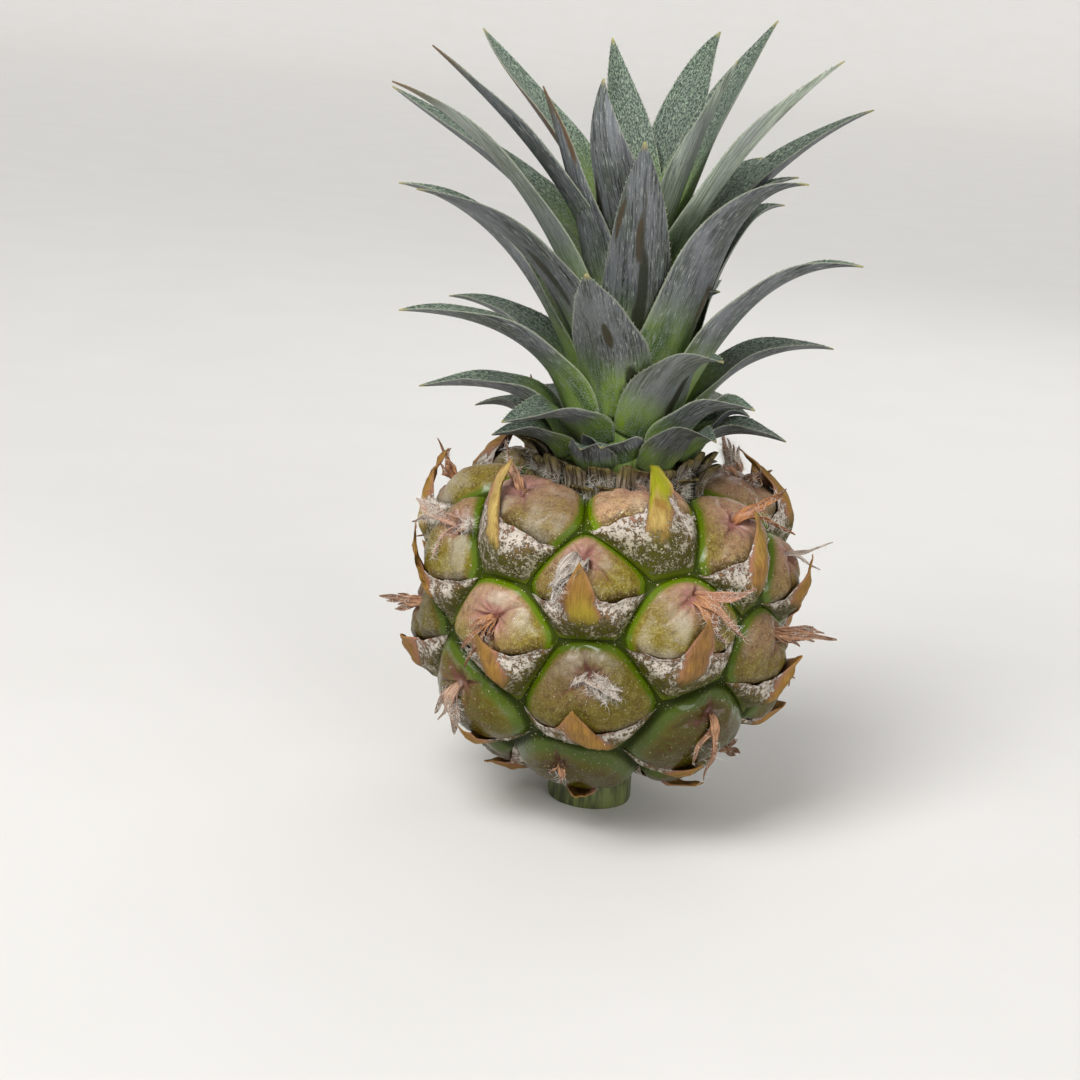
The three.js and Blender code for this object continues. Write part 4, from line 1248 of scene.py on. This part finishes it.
def leaf_points(leaf, s):
    """A leaf's face and back as grids of points, with its steps, places across and half widths."""
    steps = leaf_steps(s.leaf_rows)
    line, side, inward, width = leaf_frame(leaf, steps)
    v = np.sin(np.linspace(-0.5, 0.5, s.leaf_columns) * math.pi)
    half = 0.5 * width * np.clip(smooth_along(LEAF_OUTLINE, steps), 0.02, None)
    half = half * (1 + 0.025 * np.sin(9 * steps + 6 * draw(leaf, 80)))
    wave = 0.10 * np.sin(14 * steps[:, None] + 2.5 * v + 6 * draw(leaf, 81)) * v ** 2 * half[:, None] * 0.5
    sheath = 2 * CHANNEL_DEPTH * half[:, None] * v ** 2 * (1 + 0.25 * step_between(steps, 0.35, 0)[:, None])
    centre = (line[:, None] + side[:, None] * (half[:, None] * v)[..., None]
              + inward[:, None] * (sheath + wave)[..., None])
    middle_thick = smooth_along(LEAF_THICKNESSES, steps)[:, None]
    thick = LEAF_EDGE * (1 - 0.5 * steps[:, None]) + (middle_thick - LEAF_EDGE) * (1 - v ** 2) ** 0.8
    offset = inward[:, None] * (0.5 * thick)[..., None]
    return centre + offset, centre - offset, steps, v, half


def build_leaf(leaf, s, material):
    """Makes one leaf's piece, in place of its solid."""
    face, back, steps, v, half = leaf_points(leaf, s)
    gatherer = Gatherer()
    reach = np.broadcast_to(steps[:, None], face.shape[:2])
    across = np.broadcast_to(v, face.shape[:2])
    sides = np.stack([0 * reach, 0 * reach + 1])
    both = lambda value: np.stack([value, value])
    rubbed, dried = streak_values(leaf, both(reach), both(across), sides)
    middle = back[:, v.size // 2]
    spans = np.cumsum(np.concatenate([[0], np.linalg.norm(np.diff(middle, axis=0), axis=-1)]))
    gatherer.add_blade(back, face, reach=reach, across=np.abs(across), side=sides,
                       rubbed=rubbed, dried=dried, u=half[:, None] * v + 40 * draw(leaf, 82),
                       v=spans[:, None] + 0 * across + 60 * draw(leaf, 83))
    points, faces = gatherer.mesh()
    reach, across, side, rubbed, dried, u, length = gatherer.joined(
        "reach", "across", "side", "rubbed", "dried", "u", "v")
    same = np.ones_like(reach)
    lowness = float(step_between(leaf, 12, 2))
    piece = new_piece(
        f"crown_leaf_{leaf + 1:02d}", points, faces,
        colours={"leaf_zone": [reach, across, side],
                 "leaf_kind": [draw(leaf, 84) * same, lowness * same, float(leaf in BROWN_TIPPED) * same],
                 "leaf_mark": [rubbed, dried, PALE_LEAVES.get(leaf, 0) * same]},
        uv=np.stack([u, length], -1))
    declare(piece, "leaf_skin", material, LEAF_NODES[leaf])


# Collar


def collar_scale(item, s, gatherer):
    """One dead fibrous scale leaf that stands against the crown's foot, its rounded tip bent out."""
    share = item / (COLLAR_SCALES - 1)
    azimuth = math.radians(LEAF_TURN * item + 12 + 14 * (draw(item, 90) - 0.5))
    steps = np.linspace(0, 1, s.collar_rows)
    length = 3.6 + 6.2 * draw(item, 91)
    lean = np.radians(-14 + (14 + 40 * draw(item, 92)) * steps ** 2.0)
    climb = steps * length
    radius = COLLAR_RADII[0] + (COLLAR_RADII[1] - COLLAR_RADII[0]) * share + np.sin(lean) * climb
    height = COLLAR_HEIGHTS[0] + (COLLAR_HEIGHTS[1] - COLLAR_HEIGHTS[0]) * share + np.cos(lean) * climb
    half = 0.5 * (3.8 + 2.4 * draw(item, 93)) * smooth_along(COLLAR_OUTLINE, steps)
    v = np.linspace(-1, 1, SCALE_COLUMNS)
    around = azimuth + half[:, None] * v / radius[:, None]
    bulge = 0.45 * half[:, None] * (1 - v ** 2) * (0.6 + 0.6 * step_between(steps, 0.3, 0.8)[:, None])
    ribs = (0.13 * np.cos(5 * math.pi * v + 6 * draw(item, 94))
            + 0.2 * wobble(8 * steps[:, None], 6 * v, item, 7))
    reach = radius[:, None] + ribs + bulge
    level = FRUIT_CENTRE + height[:, None] + 0 * v
    sheets = []
    for offset in (0.2, -0.2):
        sheets.append(np.stack([(reach + offset) * np.sin(around), -(reach + offset) * np.cos(around),
                                level + offset * np.sin(lean)[:, None] * -1], -1))
    woolly = step_between(steps, 0.75, 0.2)[:, None] * (0.2 + 2.0 * (draw(item, 95) > 0.5))
    gatherer.add_blade(*sheets, reach=steps[:, None], u=half[:, None] * v + 9 * item,
                       v=climb[:, None], fuzz=woolly * FRONT_ONLY)


# Geometry Nodes trees


def start_tree(name, floats, seeded=True):
    """A tree whose inputs are a geometry, named numbers and a material, and those as values."""
    tree = bpy.data.node_groups.new(name, "GeometryNodeTree")
    kinds = {"Geometry": "Geometry", **{key: "Float" for key in floats}}
    if seeded:
        kinds["Seed"] = "Int"
    kinds["Material"] = "Material"
    for key, kind in kinds.items():
        socket = tree.interface.new_socket(key, in_out="INPUT", socket_type="NodeSocket" + kind)
        if key in floats:
            socket.default_value = floats[key]
    tree.interface.new_socket("Geometry", in_out="OUTPUT", socket_type="NodeSocketGeometry")
    return tree, add_node(tree, "NodeGroupInput")


def carried(tree, key, kind):
    """What the host's points carry under a name."""
    return add_node(tree, "GeometryNodeInputNamedAttribute", {"data_type": kind}, {"Name": key})[0]


def chance_number(tree, low, high, seed):
    """A random number between two limits for each instance."""
    return add_node(tree, "FunctionNodeRandomValue", {"data_type": "FLOAT"}, {
        2: low, 3: high, "Seed": seed})[1]


def chance_vector(tree, low, high, seed):
    """A random vector between two limits for each instance."""
    return add_node(tree, "FunctionNodeRandomValue", {"data_type": "FLOAT_VECTOR"}, {
        0: low, 1: high, "Seed": seed})[0]


def scattered(tree, given, key, lean, seed):
    """Points on the host's faces, as dense as its attribute says, and their turns at random."""
    scatter = add_node(tree, "GeometryNodeDistributePointsOnFaces", None, {
        "Mesh": given["Geometry"], "Density": carried(tree, key, "FLOAT") * given["Density"],
        "Seed": given["Seed"]})
    jitter = chance_vector(tree, (-lean, -lean, -3.14), (lean, lean, 3.14), seed)
    turns = add_node(tree, "FunctionNodeRotateRotation", {"rotation_space": "LOCAL"}, {
        "Rotation": scatter["Rotation"], "Rotate By": jitter})[0]
    return scatter["Points"], turns


def end_tree(tree, points, thing, turns, sizes, material):
    """Sets a thing on each point, as real faces with their material, and ends the tree."""
    placed = add_node(tree, "GeometryNodeInstanceOnPoints", None, {
        "Points": points, "Instance": thing, "Rotation": turns, "Scale": sizes})[0]
    real = add_node(tree, "GeometryNodeRealizeInstances", None, {"Geometry": placed})[0]
    dressed = add_node(tree, "GeometryNodeSetMaterial", None, {
        "Geometry": real, "Material": material})[0]
    add_node(tree, "NodeGroupOutput", None, {"Geometry": dressed})
    return tree


def hair_tree():
    """Scatters bent hairs over the host's faces."""
    tree, given = start_tree(HAIR_TREE, {
        "Density": 1.0, "Length": 0.003, "Radius": 0.00004, "Bend": 0.5})
    points, turns = scattered(tree, given, "fuzz", 0.9, 5)
    hair = add_node(tree, "GeometryNodeMeshCone", None, {
        "Vertices": 3, "Side Segments": 3, "Radius Top": 0.0, "Radius Bottom": given["Radius"],
        "Depth": given["Length"]})["Mesh"]
    place = add_node(tree, "GeometryNodeInputPosition")[0]
    height = add_node(tree, "ShaderNodeSeparateXYZ", None, {0: place})[2]
    bend = height / given["Length"] * height * given["Bend"]
    offset = add_node(tree, "ShaderNodeCombineXYZ", None, {0: bend})[0]
    hair = add_node(tree, "GeometryNodeSetPosition", None, {"Geometry": hair, "Offset": offset})[0]
    sizes = chance_number(tree, 0.35, 1.0, 6)
    return end_tree(tree, points, hair, turns, sizes, given["Material"])


def flake_tree():
    """Scatters flat little flakes over the host's faces."""
    tree, given = start_tree("scattered_flakes", {"Density": 1.0, "Size": 0.0003})
    points, turns = scattered(tree, given, "flakes", 0.6, 3)
    flat = given["Size"] * 0.35
    flake = add_node(tree, "GeometryNodeMeshCone", None, {
        "Vertices": 4, "Radius Top": flat, "Radius Bottom": given["Size"], "Depth": flat})["Mesh"]
    sizes = chance_vector(tree, (0.3, 0.3, 0.5), (1.1, 0.9, 1.2), 4)
    return end_tree(tree, points, flake, turns, sizes, given["Material"])


def tooth_tree():
    """Sets teeth along the host's lines, pointing as its attribute says."""
    tree, given = start_tree("teeth_along_margins", {"Spacing": 0.0013, "Length": 0.0007}, False)
    line = add_node(tree, "GeometryNodeMeshToCurve", None, {"Mesh": given["Geometry"]})[0]
    points = add_node(tree, "GeometryNodeResampleCurve", {"mode": "LENGTH"}, {
        "Curve": line, "Length": given["Spacing"]})[0]
    tooth = add_node(tree, "GeometryNodeMeshCone", None, {
        "Vertices": 4, "Radius Top": 0.0, "Radius Bottom": given["Length"] * 0.24,
        "Depth": given["Length"]})["Mesh"]
    turns = add_node(tree, "FunctionNodeAlignRotationToVector", {"axis": "Z"}, {
        "Vector": carried(tree, "pointing", "FLOAT_VECTOR")})[0]
    sizes = chance_number(tree, 0.45, 1.05, 9)
    return end_tree(tree, points, tooth, turns, sizes, given["Material"])


# Settings


def colour_setting(name, description, colour):
    """A colour, from its sRGB hex value."""
    return FloatVectorProperty(name=name, description=description, subtype="COLOR", size=3,
                               min=0, max=1, default=linear(colour)[:3])


def length_setting(name, description, millimetres_long):
    """A length, from its millimetres."""
    return FloatProperty(name=name, description=description, unit="LENGTH",
                         default=millimetres_long * MM)


def number_setting(name, description, number):
    """A plain number that isn't negative."""
    return FloatProperty(name=name, description=description, default=number, min=0)


def angle_setting(name, description, radians):
    """An angle."""
    return FloatProperty(name=name, description=description, subtype="ANGLE", default=radians)


def count_setting(name, description, count, least):
    """A whole number with its least value."""
    return IntProperty(name=name, description=description, default=count, min=least)


class RindSettings(bpy.types.PropertyGroup):
    border_spacing: length_setting("Border spacing", "Distance between points along a groove", 0.8)
    rings: count_setting("Rings", "Rings of points from groove to flower", 25, 6)
    rim_colour: colour_setting("Rim", "Fresh green along the grooves", "#627a00")
    rosy_colour: colour_setting("Rosy", "Tan, rosy lobes of the domes", "#ae8668")
    heart_colour: colour_setting("Heart", "Pink round the withered flowers", "#bf8c84")


class BractSettings(bpy.types.PropertyGroup):
    columns: count_setting("Columns", "Points across a bract", 31, 9)
    rows: count_setting("Rows", "Points from a bract's foot to its edge", 26, 6)
    thickness: length_setting("Thickness", "Thickness of a bract", 0.45)
    keel_height: length_setting("Keel height", "Height of the keel over the wings", 1.6)
    straw_colour: colour_setting("Straw", "Dry keel", "#c8ad68")
    scurf_colour: colour_setting("Scurf", "White crumbs on the wings", "#d2cac0")
    scurf_strength: number_setting("Scurf", "Strength of the fine scurf", 0.85)
    flake_size: length_setting("Flake size", "Half width of a scurf flake", 0.22)
    flake_density: number_setting("Flake density", "Flakes per square metre", 1.6e6)


class FlowerSettings(bpy.types.PropertyGroup):
    strip_rows: count_setting("Rows", "Points along a dry strip", 20, 6)
    strip_thickness: length_setting("Strip thickness", "Thickness of a dry strip", 0.2)
    petal_colour: colour_setting("Petal", "Dried petals", "#bd8450")
    hair_colour: colour_setting("Hair", "Wool on flowers and under the crown", "#ded8cc")
    hair_length: length_setting("Hair length", "Length of the longest hairs", 2.0)
    hair_radius: length_setting("Hair radius", "Half the thickness of a hair's root", 0.035)
    hair_density: number_setting("Hair density", "Hairs per square metre", 8.0e6)


class LeafSettings(bpy.types.PropertyGroup):
    leaf_rows: count_setting("Rows", "Points along a leaf", 44, 8)
    leaf_columns: count_setting("Columns", "Points across a leaf", 17, 5)
    back_colour: colour_setting("Back", "Outer face of the leaves", "#616668")
    face_colour: colour_setting("Face", "Inner face of the leaves", "#2b3b30")
    base_colour: colour_setting("Base", "Foot of the leaves", "#88a916")
    tooth_colour: colour_setting("Teeth", "Teeth along the margins", "#c3c6ae")
    tooth_spacing: length_setting("Tooth spacing", "Distance between teeth", 1.25)
    tooth_length: length_setting("Tooth length", "Length of a tooth", 0.5)
    collar_colour: colour_setting("Collar", "Dead scales under the crown", "#9a8f7c")
    collar_rows: count_setting("Collar rows", "Points along a dead scale", 18, 4)
    wool_density: number_setting("Wool density", "Hairs per square metre", 4.0e6)
    wool_length: length_setting("Wool length", "Length of the wool between the scales", 2.4)


class StalkSettings(bpy.types.PropertyGroup):
    radius: length_setting("Radius", "Half the stalk's thickness", 8.6)
    height: length_setting("Height", "Height of the stub", 10.5)
    sides: count_setting("Sides", "Points round the stalk", 72, 12)


class StageSettings(bpy.types.PropertyGroup):
    elevation: angle_setting("Elevation", "Camera's height angle", 0.29266)
    roll: angle_setting("Roll", "Camera's roll", 0.0824)
    distance: length_setting("Distance", "From the camera to the fruit's middle", 430)
    aim_aside: length_setting("Aim aside", "Camera's aim beside the fruit's middle", -14.55)
    aim_above: length_setting("Aim above", "Camera's aim above the fruit's middle", 15.38)
    lens: number_setting("Lens", "Focal length in mm on 36 mm", 69.82)
    floor_colour: colour_setting("Floor", "Matt pale floor", "#dad8d4")
    world_strength: number_setting("World", "Light from all around", 0.32)
    sun_strength: number_setting("Ceiling", "Strength of the wide soft light", 1.5)
    front_strength: number_setting("Front", "Strength of the soft front light", 0.9)
    sun_angle: angle_setting("Soft light angle", "Width of the two soft lights", math.radians(30))
    key_power: number_setting("Key power", "Watts of the key light", 3.0)
    fill_power: number_setting("Fill power", "Watts of the fill lights", 0.7)


# Operators


class PINEAPPLE_OT_rind(bpy.types.Operator):
    """Builds the rind with its domed fruitlets and grooves"""
    bl_idname = "pineapple.build_rind"
    bl_label = "Rind"

    def execute(self, context):
        s = context.scene.pineapple_rind
        points, faces, values = rind_surface(s)
        piece = new_piece("rind_fruitlets", points, faces, colours={
            "rind_zone": values[:3], "rind_kind": values[3:6], "rind_more": values[6:]})
        declare(piece, "rind", rind_material(s), "fruit")
        return {"FINISHED"}


class PINEAPPLE_OT_bracts(bpy.types.Operator):
    """Builds the dry bract on each fruitlet and the scurf that lies on it"""
    bl_idname = "pineapple.build_bracts"
    bl_label = "Bracts"

    def execute(self, context):
        s = context.scene.pineapple_bract
        gatherer = Gatherer()
        for cell in FRUITLETS:
            bract_blade(cell, s, gatherer)
        points, faces = gatherer.mesh()
        keel, upward, edge, age, pale, green, outer, u, v = gatherer.joined(
            "keel", "upward", "edge", "age", "pale", "green", "outer", "u", "v")
        clumps = np.clip(0.55 + 0.6 * wobble(u, v, 4, 3.1), 0.05, 1)
        flakes = outer * (1 - keel) ** 2 * (0.3 + 0.7 * age) * step_between(upward, 0.0, 0.6) * clumps
        piece = new_piece("fruitlet_bracts", points, faces, floats={"flakes": flakes},
                          colours={"bract_zone": [keel, upward, edge],
                                   "bract_kind": [age, pale, green]},
                          uv=np.stack([u, v], -1))
        chalk = scurf_material(s)
        scurf = grown(piece, flake_tree(), "bract_scurf", {
            "Density": s.flake_density, "Size": s.flake_size, "Seed": SCURF_SEED,
            "Material": chalk})
        declare(scurf, "rind", chalk)
        declare(piece, "rind", bract_material(s))
        return {"FINISHED"}


class PINEAPPLE_OT_flowers(bpy.types.Operator):
    """Builds the withered flowers and their white hairs"""
    bl_idname = "pineapple.build_flowers"
    bl_label = "Flowers"

    def execute(self, context):
        s = context.scene.pineapple_flower
        gatherer = Gatherer()
        for cell in FRUITLETS:
            for which, strip in enumerate(flower_strips(cell)):
                strip_blade(cell, which, strip, s, gatherer)
        points, faces = gatherer.mesh()
        reach, chance, grey, fuzz, u, v = gatherer.joined("reach", "chance", "grey", "fuzz", "u", "v")
        piece = new_piece("withered_flowers", points, faces, floats={"fuzz": fuzz},
                          colours={"flower_zone": [reach, chance, grey]}, uv=np.stack([u, v], -1))
        hair = hair_material(s)
        wool = grown(piece, hair_tree(), "flower_hairs", {
            "Density": s.hair_density, "Length": s.hair_length, "Radius": s.hair_radius,
            "Bend": FLOWER_HAIR_BEND, "Seed": FLOWER_HAIR_SEED, "Material": hair})
        declare(wool, "rind", hair)
        declare(piece, "rind", flower_material(s))
        return {"FINISHED"}


class PINEAPPLE_OT_leaves(bpy.types.Operator):
    """Builds the crown's leaves, each from its own solid's rule"""
    bl_idname = "pineapple.build_leaves"
    bl_label = "Leaves"

    def execute(self, context):
        s = context.scene.pineapple_leaf
        material = leaf_material(s)
        for leaf in range(LEAF_COUNT):
            build_leaf(leaf, s, material)
        return {"FINISHED"}


class PINEAPPLE_OT_teeth(bpy.types.Operator):
    """Sets the fine teeth along the leaves' margins"""
    bl_idname = "pineapple.build_teeth"
    bl_label = "Teeth"

    def execute(self, context):
        s = context.scene.pineapple_leaf
        points, pointing, edges = [], [], []
        for leaf in range(LEAF_COUNT):
            face, back, steps, _, _ = leaf_points(leaf, s)
            middle = (face + back) / 2
            inside = np.flatnonzero((steps > TOOTHED[0]) & (steps < TOOTHED[1]))
            for column, neighbour in ((0, 2), (-1, -3)):
                line = middle[inside, column]
                away = unit(middle[inside, column] - middle[inside, neighbour])
                forward = unit(np.gradient(line, axis=0))
                first = sum(len(part) for part in points)
                points.append(line)
                pointing.append(unit(away + TOOTH_LEAN * forward))
                edges += [(first + i, first + i + 1) for i in range(len(line) - 1)]
        mesh = bpy.data.meshes.new("margin_lines")
        mesh.from_pydata((np.concatenate(points) * MM).tolist(), edges, [])
        attribute = mesh.attributes.new("pointing", "FLOAT_VECTOR", "POINT")
        attribute.data.foreach_set("vector", np.concatenate(pointing).astype(np.float32).ravel())
        host = bpy.data.objects.new("margin_lines", mesh)
        context.scene.collection.objects.link(host)
        material = tooth_material(s)
        teeth = grown(host, tooth_tree(), "leaf_teeth", {
            "Spacing": s.tooth_spacing, "Length": s.tooth_length, "Material": material})
        remove(host)
        declare(teeth, "leaf_skin", material)
        return {"FINISHED"}


class PINEAPPLE_OT_collar(bpy.types.Operator):
    """Builds the dead scale leaves round the crown's foot and the wool between them"""
    bl_idname = "pineapple.build_collar"
    bl_label = "Collar"

    def execute(self, context):
        s, flower = context.scene.pineapple_leaf, context.scene.pineapple_flower
        gatherer = Gatherer()
        for item in range(COLLAR_SCALES):
            collar_scale(item, s, gatherer)
        points, faces = gatherer.mesh()
        reach, fuzz, u, v = gatherer.joined("reach", "fuzz", "u", "v")
        piece = new_piece("collar_scales", points, faces, uv=np.stack([u, v], -1),
                          floats={"collar_reach": reach, "fuzz": fuzz})
        hair = bpy.data.materials.get(HAIR_MATERIAL) or hair_material(flower)
        tree = bpy.data.node_groups.get(HAIR_TREE) or hair_tree()
        wool = grown(piece, tree, "collar_wool", {
            "Density": s.wool_density, "Length": s.wool_length, "Radius": flower.hair_radius,
            "Bend": WOOL_BEND, "Seed": WOOL_SEED, "Material": hair})
        declare(wool, "leaf_skin", hair)
        declare(piece, "leaf_skin", collar_material(s))
        return {"FINISHED"}


class PINEAPPLE_OT_stalk(bpy.types.Operator):
    """Builds the cut stub of the stalk and dresses the stem inside the crown"""
    bl_idname = "pineapple.build_stalk"
    bl_label = "Stalk"

    def execute(self, context):
        s = context.scene.pineapple_stalk
        radius, height = s.radius / MM, s.height / MM
        profile = STALK_FOOT + [(share, height - below) for share, below in STALK_TOP]
        turns = 2 * math.pi * np.arange(s.sides) / s.sides
        rows = []
        ribs = 0.012 * np.sin(11 * turns) + 0.008 * np.sin(23 * turns + 1)
        for share, level in profile:
            reach = radius * share * (1 + ribs * (0.3 < level < height))
            rows.append(np.stack([reach * np.cos(turns), reach * np.sin(turns), level + 0 * turns], -1))
        grid = np.array(rows)
        count = grid.shape[0] * s.sides
        index = np.arange(count).reshape(-1, s.sides)
        turned = np.roll(index, -1, axis=1)
        sides = np.stack([index[:-1], turned[:-1], turned[1:], index[1:]], -1)
        faces = sides.reshape(-1, 4).tolist()
        faces += [[count, turned[0, i], index[0, i]] for i in range(s.sides)]
        faces += [[count + 1, index[-1, i], turned[-1, i]] for i in range(s.sides)]
        points = np.concatenate([grid.reshape(-1, 3), [[0, 0, 0], [0, 0, height]]])
        cut = (points[:, 2] < 0.05).astype(float)
        piece = new_piece("stalk_stub", points, faces, floats={"cut_face": cut})
        skin = stalk_material("cut_green_stalk", "#39401f", "#68713c")
        declare(piece, "stalk_flesh", skin, "stalk")
        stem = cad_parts["crown_stem"]
        stem.data.materials.clear()
        stem.data.materials.append(stalk_material("pale_crown_stem", "#6f8a3a", "#9db45e"))
        return {"FINISHED"}


class PINEAPPLE_OT_stage(bpy.types.Operator):
    """Builds the floor, the soft lights and the camera"""
    bl_idname = "pineapple.build_stage"
    bl_label = "Stage"

    def execute(self, context):
        s = context.scene.pineapple_stage
        self.build_floor(context, s)
        self.build_lights(context, s)
        self.build_camera(context, s)
        return {"FINISHED"}

    def build_floor(self, context, s):
        """A wide floor that bends up behind the fruit."""
        turns = np.radians(np.linspace(-90, 0, 25))
        radius = FLOOR_BEND_RADIUS
        profile = [(-6.0, 0.0), (-1.0, 0.0), (1.0, 0.0)]
        profile += [(FLOOR_BEND_FROM + radius * math.cos(turn), radius + radius * math.sin(turn))
                    for turn in turns]
        profile += [(FLOOR_BEND_FROM + radius, FLOOR_TOP)]
        points = [(x, y, z) for y, z in profile for x in (-FLOOR_HALF_WIDTH, FLOOR_HALF_WIDTH)]
        faces = [(2 * i, 2 * i + 1, 2 * i + 3, 2 * i + 2) for i in range(len(profile) - 1)]
        mesh = bpy.data.meshes.new("floor")
        mesh.from_pydata(points, [], faces)
        mesh.polygons.foreach_set("use_smooth", np.ones(len(faces), bool))
        floor = bpy.data.objects.new("floor", mesh)
        context.scene.collection.objects.link(floor)
        material, tree = blank_material("matt_paper_floor")
        tone = noise(millimetres(tree), 0.02)
        finish_material(mix(tone, s.floor_colour, "#dfddda"), 0.9, tone, 0.0)
        mesh.materials.append(material)

    def build_lights(self, context, s):
        """Light from all around, two wide soft lights and three lamps."""
        world = bpy.data.worlds.new("studio")
        context.scene.world = world
        world.use_nodes = True
        background = world.node_tree.nodes["Background"]
        background.inputs[0].default_value = (1, 1, 1, 1)
        background.inputs[1].default_value = s.world_strength
        for name, place, strength in (("ceiling", (-0.35, -0.45, 1.0), s.sun_strength),
                                      ("front", (0.55, -1.0, 0.45), s.front_strength)):
            sun = bpy.data.lights.new(name, "SUN")
            sun.energy, sun.angle = strength, s.sun_angle
            self.place_light(context, sun, place)
        for name, place, size, power in (("key", (-0.35, -0.5, 0.6), 0.35, s.key_power),
                                         ("fill", (0.6, -0.4, 0.3), 0.5, s.fill_power),
                                         ("rim", (0.25, 0.6, 0.5), 0.4, s.fill_power)):
            lamp = bpy.data.lights.new(name, "AREA")
            lamp.size, lamp.energy = size, power
            self.place_light(context, lamp, place)

    def place_light(self, context, lamp, place):
        """Sets a light at its place, facing the fruit."""
        light = bpy.data.objects.new(lamp.name, lamp)
        light.location = place
        aim = Vector(LIGHTS_AIM) - Vector(place)
        light.rotation_euler = aim.to_track_quat("-Z", "Y").to_euler()
        context.scene.collection.objects.link(light)

    def build_camera(self, context, s):
        """The camera in front of the fruit, rolled about its line of sight."""
        middle = Vector((0, 0, FRUIT_CENTRE * MM))
        place = middle + s.distance * Vector((0, -math.cos(s.elevation), math.sin(s.elevation)))
        forward = (middle + Vector((s.aim_aside, 0, s.aim_above)) - place).normalized()
        right = forward.cross(Vector((0, 0, 1))).normalized()
        up = right.cross(forward)
        turned_right = right * math.cos(s.roll) + up * math.sin(s.roll)
        turned_up = up * math.cos(s.roll) - right * math.sin(s.roll)
        data = bpy.data.cameras.new("camera")
        data.sensor_width, data.lens, data.clip_start = CAMERA_FILM, s.lens, CAMERA_NEAR
        camera = bpy.data.objects.new("camera", data)
        turn = Matrix((turned_right, turned_up, -forward)).transposed().to_4x4()
        camera.matrix_world = Matrix.Translation(place) @ turn
        context.scene.collection.objects.link(camera)
        context.scene.camera = camera
        context.scene.view_settings.view_transform = "Standard"


class PINEAPPLE_PT_sidebar(bpy.types.Panel):
    """Lists the pineapple's pieces and their settings"""
    bl_label = "Miniature Pineapple"
    bl_space_type = "VIEW_3D"
    bl_region_type = "UI"
    bl_category = "Pineapple"

    def draw(self, context):
        for operator in OPERATORS:
            self.layout.operator(operator.bl_idname)
        for key, group in SETTINGS.items():
            box = self.layout.box()
            for name in group.__annotations__:
                box.prop(getattr(context.scene, key), name)


SETTINGS = {
    "pineapple_rind": RindSettings,
    "pineapple_bract": BractSettings,
    "pineapple_flower": FlowerSettings,
    "pineapple_leaf": LeafSettings,
    "pineapple_stalk": StalkSettings,
    "pineapple_stage": StageSettings,
}
OPERATORS = (
    PINEAPPLE_OT_stage,
    PINEAPPLE_OT_rind,
    PINEAPPLE_OT_bracts,
    PINEAPPLE_OT_flowers,
    PINEAPPLE_OT_leaves,
    PINEAPPLE_OT_teeth,
    PINEAPPLE_OT_collar,
    PINEAPPLE_OT_stalk,
)


def register():
    """Makes the settings, operators and panel known."""
    for group in (*SETTINGS.values(), *OPERATORS, PINEAPPLE_PT_sidebar):
        bpy.utils.register_class(group)
    for key, group in SETTINGS.items():
        setattr(bpy.types.Scene, key, PointerProperty(type=group))


def unregister():
    """Takes the settings, operators and panel away again."""
    for key in SETTINGS:
        delattr(bpy.types.Scene, key)
    for group in (PINEAPPLE_PT_sidebar, *reversed(OPERATORS), *SETTINGS.values()):
        bpy.utils.unregister_class(group)


def main():
    """Builds all pieces in order."""
    register()
    for operator in OPERATORS:
        family, name = operator.bl_idname.split(".")
        getattr(getattr(bpy.ops, family), name)()
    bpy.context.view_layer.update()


if __name__ == "__main__":
    main()
